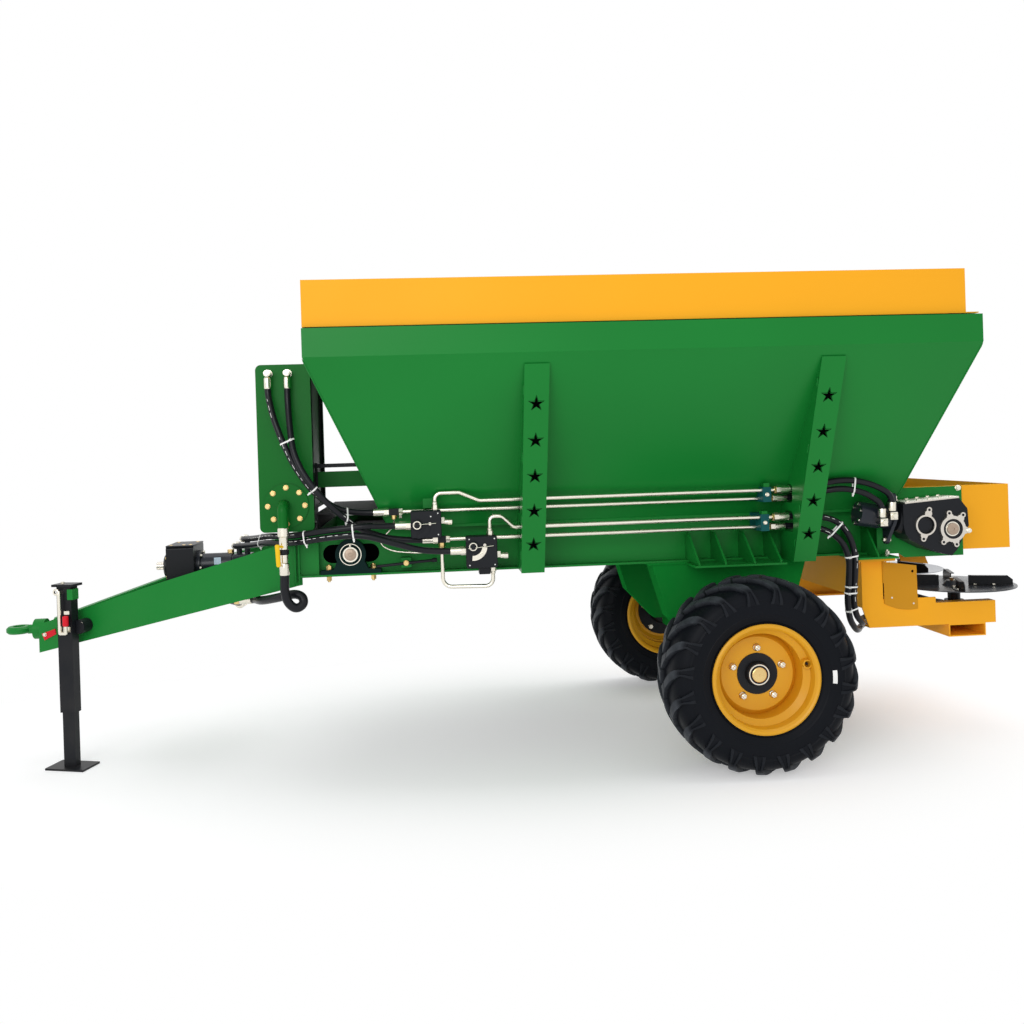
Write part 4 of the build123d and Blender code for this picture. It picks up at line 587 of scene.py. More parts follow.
class SPREADER_OT_tyres(bpy.types.Operator):
    """Traction tyres: a ringed carcass with grooved, notched bars in a herringbone"""
    bl_idname = "spreader.tyres"
    bl_label = "Tyres"

    def execute(self, context):
        tread = context.scene.spreader_tread
        for side, name in ((-1, "left"), (1, "right")):
            body, lugs = tyre_carcass(side), tyre(side, tread)
            wear_and_light = np.concatenate([np.zeros(len(body[0]))] + [worn_and_lit for _, worn_and_lit in lugs])
            obj = piece(f"tread_{name}", [body] + [shape for shape, _ in lugs], "tyre_rubber",
                        f"wheel_{name}", sharp=28, wear_and_light=wear_and_light)
            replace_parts(obj, f"tyre_{name}")
        return {"FINISHED"}


# ---------------------------------------------------------------- fasteners
def bolt(place, direction, flats=17.0, tail=0.0, washer=True):
    """Washer and chamfered hexagon, and the thread end where the nut shows: turned shapes."""
    sizes = bpy.context.scene.spreader_fittings
    disc = flats / 2 * sizes.washer
    low = 2.0 if washer else 0.0
    high = low + flats * (0.8 if tail else sizes.head)
    shapes = [hexagon(place, direction, flats, low - 0.1, high, phase=0.35)]
    if washer:
        shapes.append(turned([(-0.2, disc - 0.6), (0.3, disc), (1.6, disc), (2.0, disc - 0.5)], place,
                             direction, 20))
    if tail:
        shapes.append(turned([(low, flats * 0.29), (high + tail - 1, flats * 0.29), (high + tail, flats * 0.22)],
                             place, direction, 12))
    return shapes


def bolts(places, direction, flats=17.0, tail=0.0, washer=True):
    return [shape for place in places for shape in bolt(place, direction, flats, tail, washer)]


def round_circle(centre, direction, radius, count, phase=0.0):
    first, second, _ = axes_about(direction)
    v = phase + 2 * pi * np.arange(count) / count
    return np.asarray(centre, float) + radius * (np.cos(v)[:, None] * first + np.sin(v)[:, None] * second)


WHEEL_BOLTS = 102.5         # radius of the bolt circle


class SPREADER_OT_wheels(bpy.types.Operator):
    """Wheel nuts, hub caps, hub bolts, valve guards and one blank tyre label"""
    bl_idname = "spreader.wheels"
    bl_label = "Wheel fittings"

    def execute(self, context):
        for side, name in ((-1, "left"), (1, "right")):
            body, out = f"wheel_{name}", np.array([0.0, side, 0.0])
            centre = np.array([0, side * TRACK_HALF, AXLE_Z])
            nuts = []
            for place in round_circle(centre + out * 14, out, WHEEL_BOLTS, 5, pi / 2):
                nuts.append(turned([(-0.3, 16), (2, 15), (5, 11)], place, out, 24))
                nuts.append(hexagon(place, out, 21, 4.5, 18, 0.3))
                nuts.append(turned([(18, 6), (24, 6), (25.5, 4.6)], place, out, 14))
            for place in round_circle(centre - out * 8, -out, WHEEL_BOLTS, 5, pi / 2):
                nuts += [hexagon(place, -out, 22, -0.2, 9, 0.2), stud(place, -out, 12.5, 1.2, 20)]
            nuts.append(band(centre, out, 34, 39.5, 36, 40.6, 48))
            piece(f"wheel_nuts_{name}", nuts, "zinc_steel", body)
            cap = turned([(38, 29.2), (42, 29.2), (43.6, 27.5), (44.2, 24), (44.2, 10), (43.6, 2)], centre, out, 48)
            piece(f"hub_cap_{name}", [cap, stud(centre + out * 43, out, 4.5, 1.2)], "gold_zinc", body)
            turn = radians(15)
            seat = centre + np.array([176 * cos(turn), 0, 176 * sin(turn)])
            piece(f"valve_guard_{name}", [band(seat, out, 66, 96, 12.5, 17.5, 28)], "rim_paint", body)
            stem = [turned([(40, 5), (58, 5), (60, 3.8), (74, 3.8), (75, 5.4), (88, 5.4), (90, 4)], seat, out, 14)]
            piece(f"valve_stem_{name}", stem, "black_paint", body)
        v, rows = np.linspace(-0.095, 0.095, 9), []
        far, near = np.interp((-271.0, -255.0), -OUTLINE[:, 1], TRAVEL)
        for t, lift in ((far, 0.2), (far, 1.0), (near, 1.0), (near, 0.2)):
            across, radius, out_across, out_radius = carcass_at(t)
            reach = radius + lift * out_radius
            rows.append(np.stack([reach * np.cos(v), np.full(9, -TRACK_HALF - across - lift * out_across),
                                  AXLE_Z + reach * np.sin(v)], 1))
        piece("tyre_label", [skin(np.stack(rows, 1))], "nylon", "wheel_left", slot="tyre_rubber")
        return {"FINISHED"}


class SPREADER_OT_frame_bolts(bpy.types.Operator):
    """Bolts of the frame, brackets, bearings and spinner frame, and the ribs at the beams' ends"""
    bl_idname = "spreader.frame_bolts"
    bl_label = "Frame bolts"

    def execute(self, context):
        zinc, gold = bolts([(1003, -458, 1057)], OUT, 19) + bolts([(1003, -458, 1000), (1003, -458, 850)], OUT), []
        for x in (-1665, -1485):        # feet of the take-up bearings, nuts below the flange
            gold += bolts([(x, -430, 814)], UP, 20, 4) + bolts([(x, -430, 788)], DOWN, 20, 6)
        for x in (540, 672):            # mounting flanges of the spinner frame
            zinc += bolts([(x, -478, 788), (x, -412, 788)], UP, 17, 6)
            zinc += bolts([(x, -478, 764), (x, -412, 764)], DOWN)
        zinc += bolts([(x, -478, 788) for x in (-150, -40, 80, 150)], DOWN)         # outrigger brackets
        ribs = [plate(rounded(3.5, 96, 1), 0, 14, (x, -436, 864), NEAR) for x in (-1798, -1783)]
        ribs.append(plate([(-1806, 752), (-1772, 758), (-1772, 800), (-1806, 800)], 433, 438, (0, 0, 0), NEAR, 0.5))
        piece("beam_ribs", both_sides(ribs), "green_paint")
        piece("frame_bolts", both_sides(zinc), "zinc_steel")
        piece("gold_bolts", both_sides(gold), "gold_zinc")
        return {"FINISHED"}


# ---------------------------------------------------------------- hose routes
HOSE = 25.0                 # outer diameter
BEND_SHARE = 0.45
ROUTES = {
    "tank_a": [(-1872, -534, 1578), (-1872, -534, 1530), (-1852, -560, 1440), (-1818, -574, 1345),
               (-1772, -578, 1240), (-1702, -574, 1135), (-1612, -552, 1064), (-1520, -523, 1047),
               (-1412, -523, 1047)],
    "tank_b": [(-1796, -534, 1578), (-1796, -534, 1500), (-1788, -560, 1400), (-1775, -590, 1300),
               (-1738, -606, 1215), (-1672, -606, 1120), (-1598, -582, 1045), (-1530, -540, 985),
               (-1430, -528, 944), (-1330, -523, 930), (-1220, -523, 930)],
    "pump_a": [(-2066, -50, 926), (-2066, -110, 926), (-1990, -240, 938), (-1912, -390, 958),
               (-1850, -466, 961), (-1775, -530, 968), (-1650, -596, 988), (-1500, -604, 1000),
               (-1420, -566, 994), (-1326, -566, 994)],
    "pump_b": [(-2102, -50, 896), (-2102, -116, 896), (-2004, -250, 910), (-1918, -392, 931),
               (-1850, -466, 933), (-1775, -530, 939), (-1650, -596, 960), (-1520, -604, 968),
               (-1400, -596, 930), (-1290, -580, 894), (-1200, -566, 885), (-1111, -566, 885)],
    "outer": [(163, -566, 1083), (310, -566, 1083), (385, -568, 1108), (475, -578, 1114),
              (565, -587, 1092), (640, -594, 1048), (640, -594, 976)],
    "inner": [(163, -523, 1047), (260, -523, 1047), (345, -548, 1066), (440, -577, 1081),
              (530, -588, 1060), (597, -594, 1012), (597, -594, 951)],
    "feed": [(151, -566, 972), (260, -566, 972), (340, -574, 970), (418, -584, 945), (464, -586, 880),
             (486, -582, 800), (484, -572, 700), (480, -560, 620), (498, -545, 548), (534, -522, 514),
             (562, -470, 502), (584, -400, 504), (650, -350, 512), (780, -320, 518)],
    "back": [(151, -523, 930), (250, -523, 930), (320, -546, 926), (382, -574, 905), (432, -586, 860),
             (458, -584, 790), (457, -575, 700), (452, -565, 615), (468, -550, 532), (506, -522, 486),
             (545, -462, 472), (592, -380, 470)],
}


def run_of(name, step=4.0):
    """Even points and runs along a hose: its straights joined at each corner by a parabola that
    starts and ends at that share of the shorter straight, (1-t)^2 a + 2 t (1-t) corner + t^2 b."""
    corners = np.array(ROUTES[name], float)
    legs = np.diff(corners, axis=0)
    length = np.linalg.norm(legs, axis=1)
    way = legs / length[:, None]
    cut = BEND_SHARE * np.minimum(length[:-1], length[1:])[:, None]
    start, corner, end = corners[1:-1] - cut * way[:-1], corners[1:-1], corners[1:-1] + cut * way[1:]
    t = np.linspace(0, 1, 9)[None, :, None]
    bends = (1 - t) ** 2 * start[:, None] + 2 * t * (1 - t) * corner[:, None] + t ** 2 * end[:, None]
    line = np.concatenate([corners[:1], bends.reshape(-1, 3), corners[-1:]])
    travel = np.concatenate([[0], np.cumsum(np.linalg.norm(np.diff(line, axis=0), axis=1))])
    even = np.arange(0, travel[-1], step)
    points = np.stack([np.interp(even, travel, column) for column in line.T], 1)
    return points, unit(np.gradient(points, axis=0)), even


def tie(centres, direction, radius=HOSE / 2, head=-pi / 2):
    """A strap pulled tight round hoses: at each angle v the furthest hose centre along
    (cos v, sin v), plus radius * (cos v, sin v), as a closed band, and its lock with a cut tail."""
    width = bpy.context.scene.spreader_fittings.tie * 500
    first, second, along = axes_about(direction)
    centres = np.asarray(centres, float)
    middle = centres.mean(0)
    flat = np.stack([(centres - middle) @ first, (centres - middle) @ second], 1)
    v = 2 * pi * np.arange(64) / 64
    spoke = np.stack([np.cos(v), np.sin(v)], 1)
    furthest = flat[np.argmax(spoke @ flat.T, axis=1)]
    rows = []
    for level, lift in ((-width, 0.1), (-width, 1.5), (width, 1.5), (width, 0.1)):
        ring = furthest + (radius + lift) * spoke
        rows.append(middle + ring[:, :1] * first + ring[:, 1:] * second + level * along)
    lock = np.array([cos(head), sin(head)])
    seat = flat[np.argmax(flat @ lock)] + (radius + 1.0) * lock
    across = np.array([-lock[1], lock[0]])
    place = middle + seat[0] * first + seat[1] * second
    face = (across[0] * first + across[1] * second, along, lock[0] * first + lock[1] * second)
    if np.dot(np.cross(face[0], face[1]), face[2]) < 0:
        face = (-face[0], face[1], face[2])
    return [skin(np.stack(rows), wrap=True), plate(rounded(4.5, width + 1.4, 1), 0, 5.5, place, face, 0.5),
            plate(rounded(1.0, width, 0.5), 4, 13, place, face, 0.3)]


def nearest(name, place):
    points, runs, _ = run_of(name)
    index = np.argmin(np.linalg.norm(points - place, axis=1))
    return points[index], runs[index]


TIES = [                    # hoses held, and a point near which the tie sits
    (("tank_a", "tank_b"), (-1798, -575, 1343)), (("tank_a", "tank_b"), (-1700, -590, 1148)),
    (("tank_a", "tank_b"), (-1574, -555, 1044)), (("pump_a", "pump_b"), (-1947, -332, 936)),
    (("pump_a", "pump_b"), (-1742, -548, 959)), (("pump_a", "pump_b"), (-1550, -601, 980)),
    (("outer", "inner"), (490, -581, 1090)), (("feed", "back"), (405, -580, 916)),
    (("feed", "back"), (468, -583, 801)), (("feed", "back"), (469, -570, 674)),
    (("feed", "back"), (467, -565, 648)), (("feed", "back"), (475, -555, 577)),
]
DASHES = [                  # hose, from, to along it, angle of the line round the hose
    ("tank_a", 70, 150, 245), ("tank_a", 230, 560, 250), ("tank_b", 610, 720, 300), ("pump_a", 160, 560, 290),
    ("pump_b", 500, 800, 300), ("feed", 150, 320, 290), ("feed", 400, 460, 280), ("feed", 540, 600, 275),
    ("back", 110, 240, 255),
]


def dashes(name, low, high, angle):
    """Flat oval strokes laid along a hose: centre + radius * (cos a * side + sin a * up)."""
    dash = bpy.context.scene.spreader_fittings.dash * 1000
    points, runs, even = run_of(name, 2.0)
    side = unit(np.cross(runs, (0.02, 1, 0.01)))
    up = np.cross(side, runs)
    out = cos(radians(angle)) * side + sin(radians(angle)) * up
    line = points + (HOSE / 2 + 0.02) * out
    shapes = []
    for k, start in enumerate(np.arange(low, high, dash * 1.5)):
        span = slice(int(start / 2), int((start + dash * (0.55 + 0.45 * (k % 3 > 0))) / 2) + 1)
        if span.stop - span.start > 2 and span.stop < len(line):
            stroke, around = line[span], np.cross(runs[span], out[span])
            v = 2 * pi * np.arange(6) / 6
            shapes.append(skin(stroke[:, None] - 1.0 * np.cos(v)[:, None] * around[:, None]
                               + 0.6 * np.sin(v)[:, None] * out[span][:, None]))
    return shapes


class SPREADER_OT_hose_trim(bpy.types.Operator):
    """Nylon ties round the hoses and the broken line along each of them"""
    bl_idname = "spreader.hose_trim"
    bl_label = "Hose ties and lines"

    def execute(self, context):
        shapes = []
        for names, place in TIES:
            held = [nearest(name, place) for name in names]
            shapes += tie([point for point, _ in held], held[0][1])
        piece("hose_ties", shapes, "nylon", sharp=40)
        strokes = [stroke for row in DASHES for stroke in dashes(*row)]
        piece("hose_lines", strokes, "nylon", sharp=20)
        return {"FINISHED"}


# ---------------------------------------------------------------- flow valves
def sector(centre, inner, outer, start, end, low, high):
    """A flat arc: centre + radius * (cos v, sin v) for v from start to end degrees, out and back."""
    v = np.radians(np.linspace(start, end, 14))
    ring = np.stack([np.cos(v), np.sin(v)], 1)
    outline = np.concatenate([outer * ring, inner * ring[::-1]])
    return plate(outline, low, high, centre, NEAR, 0.3)


def bar(start, end, width, height=None):
    """A straight bar of oval section between two points, with stepped-in ends."""
    start, end = np.array(start, float), np.array(end, float)
    path = start + np.array([0, 0.02, 0.06, 0.5, 0.94, 0.98, 1])[:, None] * (end - start)
    thin = np.array([0.5, 0.85, 1, 1, 1, 0.85, 0.5])
    upright = UP if abs((end - start)[2]) < 0.7 * np.linalg.norm(end - start) else (0, 1, 0)
    return swept(path, width * thin, (height or width) * thin, upright, 12)


VALVE_FACE = -602.0
VALVE_BLOCKS = [            # x range, z range, dial centre, from and to of the lever, screw
    ((-1326, -1205), (944, 1051), (-1301, 996), ((-1316, 998), (-1226, 1002)), (-1250, 1000)),
    ((-1110, -987), (817, 943), (-1083, 903), ((-1103, 897), (-1002, 905)), (-1037, 908)),
]
PIPE_NUTS = [               # place, way, spanner size, from and to along the way
    ((-1205, -566, 1009), AFT, 24, -0.4, 14), ((-987, -566, 866), AFT, 24, -0.4, 15),
    ((-1228, -566, 1051), UP, 24, -0.2, 22), ((-1012, -566, 943), UP, 25, -0.2, 18),
    ((-1004, -551, 817), DOWN, 26, -0.2, 20), ((-1394, -523, 1034), AFT, 24, 21.5, 34),
    ((-1373, -523, 1047), AFT, 25, -0.2, 17), ((-1188, -523, 930), AFT, 25, -0.2, 17),
]
MARKS = [(-1246, 1028), (-1218, 1040), (-1218, 956), (-1098, 932), (-998, 932), (-998, 829), (-1098, 829)]
DRAIN = [(-1392, -523, 1020), (-1393, -520, 992), (-1424, -490, 958), (-1453, -472, 931), (-1443, -468, 905),
         (-1404, -470, 885), (-1350, -474, 878), (-1293, -480, 874), (-1200, -510, 876), (-1112, -545, 880)]


class SPREADER_OT_valves(bpy.types.Operator):
    """Flow valves with their dials, levers, nuts and plugs, and the rod, stay and tube beside them"""
    bl_idname = "spreader.valves"
    bl_label = "Flow valves"

    def execute(self, context):
        face, zinc, steel = VALVE_FACE, [hexagon(*nut) for nut in PIPE_NUTS], []
        black = [plate(rounded(22, 18, 3), 0, 46, (-1039, -542, 808), NEAR, 2)]     # hung under the rear valve
        for x, z, dial, lever, screw in VALVE_BLOCKS:
            black.append(plate(rounded((x[1] - x[0]) / 2, (z[1] - z[0]) / 2, 7), 0, 66,
                               ((x[0] + x[1]) / 2, -536, (z[0] + z[1]) / 2), NEAR, 2.5))
            place = (dial[0], face, dial[1])
            black.append(turned([(-1, 22), (6, 22), (8, 20), (9, 9), (20, 9), (21.5, 7)], place, OUT, 40))
            zinc.append(band(place, OUT, 7.4, 10.5, 12.5, 16.5, 40))
            zinc.append(bar(*((end[0], face - 14, end[1]) for end in lever), 2.0, 1.6))
            steel.append(hexagon((screw[0], face, screw[1]), OUT, 12, -0.5, 8))
        zinc.append(sector((-1301, face, 996), 17, 20, 60, 170, -0.2, 2.0))
        black.append(sector((-1301, face, 996), 34, 54, -90, -8, -0.2, 3.0))
        zinc.append(sector((-1083, face, 903), 36, 56, -95, -5, -0.2, 3.0))
        zinc.append(hexagon((-1050, face - 3, 870), OUT, 13, -0.2, 6))
        for (place, way, *_), depth in zip(PIPE_NUTS[2:5], (22, 18, 20)):           # short stems past these nuts
            zinc.append(turned([(depth - 0.5, 10.6), (depth + 9, 10.6), (depth + 12, 8.2)], place, way, 20))
        gold = [hexagon((-1204, -523, 917), DOWN, 24, -0.2, 20),
                turned([(-0.3, 11.5), (15, 11.5), (17, 9)], (-1392, -523, 1034), DOWN, 18)]
        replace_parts(piece("flow_valve_blocks", black, "black_paint"), "flow_valves")
        piece("valve_zinc", zinc, "zinc_steel")
        piece("valve_steel", steel, "bare_steel")
        piece("valve_gold", gold, "gold_zinc")
        piece("valve_marks", [stud((x, face, z), OUT, 2.6, 1.2) for x, z in MARKS], "nylon", slot="zinc_steel")
        piece("valve_tab", [plate(rounded(19.5, 22, 3), 0, 12, (-1256.5, -524, 1079), NEAR, 1)], "green_paint")
        piece("valve_stay", [plate(rounded(21, 20, 2), 0, 50, (-1350, -400, 833), NEAR, 1)], "green_paint")
        piece("stay_bolt", bolt((-1350, -463, 833), OUT), "gold_zinc")
        rod = [bar((-1472, -457, 823), (-1236, -457, 840), 6), bar((-1246, -457, 839), (-1224, -457, 841), 9)]
        piece("take_up_rod", rod, "black_paint")
        piece("drain_tube", [swept(softened(DRAIN, 3), 3.2, sides=12)], "zinc_steel", sharp=50)
        return {"FINISHED"}


# ---------------------------------------------------------------- conveyor drive
CASE_FACE = -588.0
SEAL = (896, CASE_FACE, 897)
SEAL_LUGS = [(881, 962), (940, 953), (909, 833), (854, 844)]
COVER_SLOPE = 0.0711
COVER_LUGS = [(798, 979), (770, 860)]
MOTOR_TILT = radians(10)
MOTOR_OUT = np.array([-cos(MOTOR_TILT), 0, sin(MOTOR_TILT)])
MOTOR_UP = np.array([sin(MOTOR_TILT), 0, cos(MOTOR_TILT)])
MOTOR_FACE = np.array([668.0, -530.0, 944.0])
BANJOS = [(640, 961), (597, 936)]


class SPREADER_OT_drive(bpy.types.Operator):
    """Bolts, seal, shaft end and hose eyes of the conveyor drive"""
    bl_idname = "spreader.drive"
    bl_label = "Conveyor drive"

    def execute(self, context):
        zinc = bolts([(963, CASE_FACE - 12, 888)], OUT, 15)
        # painted shade: thin black discs on the lugs and a black dish on the case face stand for the dark inside
        # holes
        painted_hole_shade = [stud((x, CASE_FACE - 11.9, z), OUT, 5.5, 0.4) for x, z in SEAL_LUGS]
        painted_hole_shade += [stud((x, CASE_FACE - 8.9, z), OUT, 5.5, 0.4) for x, z in COVER_LUGS]
        painted_hole_shade.append(turned([(-0.5, 34.5), (1, 34.5), (3, 30), (4, 12)], (782, CASE_FACE + 4, 916), OUT, 48))
        steel = [plate([(698, 1006), (930, 1022.5), (930, 1030), (698, 1013.5)], 466, 592, (0, 0, 0), NEAR, 1.2)]
        zinc.append(band(SEAL, OUT, -2, 7, 25.6, 30.5, 48))
        black = [band(SEAL, OUT, -5.5, 9, 30.7, 40, 48)]
        shaft = [turned([(9.6, 23), (11, 24.6), (12, 24.4), (12.6, 23), (12.8, 6), (11, 5.2)], SEAL, OUT, 48)]
        for place in round_circle(MOTOR_FACE + 150 * MOTOR_OUT, MOTOR_OUT, 40, 6, 0.4):     # end cap screws
            zinc.append(hexagon(place, MOTOR_OUT, 11, -0.3, 6, 0.2))
        for reach in (88, -90):                                                             # ears
            zinc += bolt(MOTOR_FACE + reach * MOTOR_UP + 14 * MOTOR_OUT, MOTOR_OUT, 19)
            zinc += bolt(MOTOR_FACE + reach * MOTOR_UP, -MOTOR_OUT, 19, washer=False)
        for x, z in BANJOS:         # eyes on the near side of the motor, and the crimps above them
            zinc.append(plate(rounded(15.4, 15.4, 1.0), -0.4, 36.4, (x, -576, z), NEAR, 0.5))
            zinc.append(turned([(36.0, 13), (39, 13), (39.2, 12.6)], (x, -576, z), OUT, 28))
            zinc.append(hexagon((x, -576, z), OUT, 21, 38.8, 47, 0.3))
            zinc.append(turned([(14.8, 9), (19, 9.5), (20, 15.6), (24, 16.2), (52, 16.2), (55, 15.6), (56, 13),
                                (55, 12.6), (20, 12.6)], (x, -594, z), UP, 28))
        for x in range(716, 901, 46):                                                       # top cover
            for y in (-578, -480):
                zinc += bolt((x, y, 1013 + (x - 698) * COVER_SLOPE), UP, 13, washer=False)
        piece("drive_zinc", zinc, "zinc_steel")
        piece("drive_steel", steel, "bare_steel")
        piece("drive_painted_hole_shade", painted_hole_shade, "black_paint")
        piece("drive_seal", black, "hose_rubber")
        piece("drive_shaft_end", shaft, "shaft_steel")
        return {"FINISHED"}


# ---------------------------------------------------------------- front bearings
class SPREADER_OT_bearing(bpy.types.Operator):
    """Rings, grease nipple and shaft end of the take-up bearings, and a near-black sheet behind each slot as painted
    shade
    """
    bl_idname = "spreader.bearing"
    bl_label = "Take-up bearings"

    def execute(self, context):
        place = (-1575, -449, 875)
        zinc = [band(place, OUT, -1, 3.5, 41.5, 45, 48), band(place, OUT, -1, 6, 24, 31, 48),
                turned([(3, 4), (3.4, 4.4), (9, 4.4), (10, 2.5)], (-1575, -452, 912), OUT, 12)]
        shaft = [turned([(6.6, 24), (7.6, 24.6), (8.2, 23.6), (8.4, 8), (7.4, 7)], place, OUT, 48)]
        # painted shade: a near-black sheet inside each beam, behind the take-up slot
        shade_sheet = [plate(rounded(126, 44, 12), 390.5, 391.8, (-1575, 0, 875), NEAR, 0.3)]
        piece("slot_shade_sheets", both_sides(shade_sheet), "hollow", slot="belt_rubber")
        piece("bearing_rings", both_sides(zinc), "zinc_steel")
        piece("bearing_shaft_ends", both_sides(shaft), "shaft_steel")
        return {"FINISHED"}


# ---------------------------------------------------------------- tank
TANK_FACE = -500.0
PORTS = (-1872, -1796)
SUCTION = [                 # the suction hose, from under its cock to the pump's elbow
    (-1826, -560, 862), (-1826, -560, 800), (-1828, -560, 750), (-1818, -556, 706), (-1788, -548, 678),
    (-1757, -536, 694), (-1762, -524, 724), (-1795, -512, 735), (-1845, -490, 722), (-1905, -425, 704),
    (-1950, -370, 692), (-1974, -310, 686), (-1990, -264, 683), (-2012, -250, 682), (-2040, -250, 682),
]
SUCTION_BEND = [(-2060, -250, 682), (-2088, -250, 682), (-2100, -240, 680), (-2096, -190, 668), (-2086, -130, 652),
                (-2084, -66, 648)]


class SPREADER_OT_tank(bpy.types.Operator):
    """Cover bolts, hose eyes, cock, suction hose and filler cap of the oil tank"""
    bl_idname = "spreader.tank"
    bl_label = "Tank fittings"

    def execute(self, context):
        cover = round_circle((-1818, TANK_FACE - 6, 1085), OUT, 73, 8)
        gold = bolts(cover, OUT) + [hexagon((-2062, -250, 682), FORE, 38, -0.4, 20, 0.2)]
        zinc = [turned([(0, 18.5), (2, 20), (50, 20), (54, 18)], (-2008, -250, 682), FORE, 36)]
        for x in PORTS:
            zinc.append(turned([(-3, 13), (0, 14.2), (12, 14.2), (14, 12.8), (15, 8)], (x, -534, 1612), OUT, 28))
            zinc.append(hexagon((x, -534, 1612), OUT, 17, 14.6, 21, 0.2))
            zinc.append(turned([(0, 12.8), (2, 13.8), (6, 14.4), (40, 14.4), (44, 13.6), (45, 12.6)],
                               (x, -534, 1596), DOWN, 28))
            zinc.append(band((x, TANK_FACE, 1612), OUT, -0.2, 9, 12, 16.5, 28))
        for top, profile in ((1002, [(0, 21), (2, 22.5), (33, 22.5), (36, 18.5), (40, 17.6), (84, 17.6), (86, 15)]),
                             (897, [(0, 14), (1, 16.5), (31, 16.5), (33, 14)]),
                             (864, [(0, 16), (3, 19.5), (8, 20.6), (44, 20.6), (48, 18)])):
            zinc.append(turned(profile, (-1826, -560, top), DOWN, 36))
        ring = [turned([(0, 15), (1, 20.5), (19, 20.5), (20, 15)], (-1826, -560, 917), DOWN, 36)]
        hose = [swept(softened(SUCTION, 4), 18, upright=(0.05, -0.9, 0.3), sides=20)]
        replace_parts(piece("suction_hose", hose, "hose_rubber", sharp=50), "suction_line")
        bend = [swept(softened(SUCTION_BEND, 3), 16, upright=(0.05, 0.1, 0.9), sides=20)]
        piece("suction_bend", bend, "black_paint", slot="hose_rubber", sharp=50)
        piece("tank_cover_bolts", gold, "gold_zinc")
        piece("tank_zinc", zinc, "zinc_steel")
        piece("suction_ring", ring, "hose_rubber")
        grip = [bar((-1847, -590, 940), (-1843, -592, 852), 9, 5), bar((-1826, -572, 928), (-1847, -591, 934), 6, 5)]
        piece("valve_handle", grip, "lever_yellow")
        cap = [turned([(16, 36.2), (17, 37), (20, 37), (22, 35), (22.4, 12)], (-1825, -140, 1650), UP, 36)]
        piece("filler_cap", cap, "black_paint")
        return {"FINISHED"}


# ---------------------------------------------------------------- input drive
PUMP_INLET = (-2084, -66, 648)


class SPREADER_OT_input(bpy.types.Operator):
    """Lid, plugs, pump bolts, blank label and hose crimps of the input drive"""
    bl_idname = "spreader.input"
    bl_label = "Input drive"

    def execute(self, context):
        lid = [(-2384, -70), (-2329, -70), (-2384, 70), (-2300, 70), (-2300, -70)]
        gold = bolts([(x, y, 900) for x, y in lid], UP, 15)
        face = round_circle((-2400, 0, 811), FORE, 82, 6, 0.5)
        gold += bolts(face[(np.abs(face[:, 1]) < 95) & (face[:, 2] < 890)], FORE, 13)
        gold += [band(PUMP_INLET, OUT, -8, 0, 18, 24, 32), hexagon((-2140, 0, 853), UP, 26, -0.2, 20)]
        zinc = [band((-2426, 0, 811), FORE, -0.5, 4, 20, 30, 40)]
        zinc += [hexagon(place, AFT, 13, -0.2, 8) for place in round_circle((-2266, 0, 811), AFT, 56, 6, 0.2)]
        for x, z in ((-2066, 926), (-2102, 896)):       # crimps and nuts of the pump's two hoses
            zinc.append(turned([(-4, 13.2), (0, 16), (14, 16), (16, 15.6), (52, 15.6), (56, 12.7)],
                               (x, -46, z), OUT, 28))
            zinc.append(hexagon((x, -46, z), OUT, 28, -2, 14))
        zinc.append(turned([(0, 18.4), (2, 21), (10, 22.4), (58, 22.4), (62, 18.4)], PUMP_INLET, OUT, 32))
        piece("input_plugs", gold, "gold_zinc")
        piece("input_zinc", zinc, "zinc_steel")
        piece("gearbox_lid", [plate(rounded(60, 103, 8), 0, 7, (-2341, 0, 900), TOP, 1.5)], "black_paint")
        piece("pump_label", [plate(rounded(15, 15.5, 2), 0, 1, (-2190, -48.4, 828), NEAR, 0.2)], "label")
        return {"FINISHED"}


# ---------------------------------------------------------------- jack
FLARE = 345.0 / 1150.0
JACK_ALONG = unit((1, -FLARE, 0))
JACK_OUT = unit((-FLARE, -1, 0))
JACK_CENTRE = np.array([-2766, -(90 + FLARE * 184), 0]) + 64 * JACK_OUT
JACK_FACE = (JACK_ALONG, UP, JACK_OUT)
SWIVEL = JACK_CENTRE - 64 * JACK_OUT + 44 * JACK_ALONG + np.array([0, 0, 590])
JACK_CRANK = [(-10, 21, 742), (-10, 40, 742), (-10, 40, 571), (18, 40, 571), (18, 40, 606)]


def on_jack(along, out, height):
    return JACK_CENTRE + along * JACK_ALONG + out * JACK_OUT + np.array([0, 0, height])


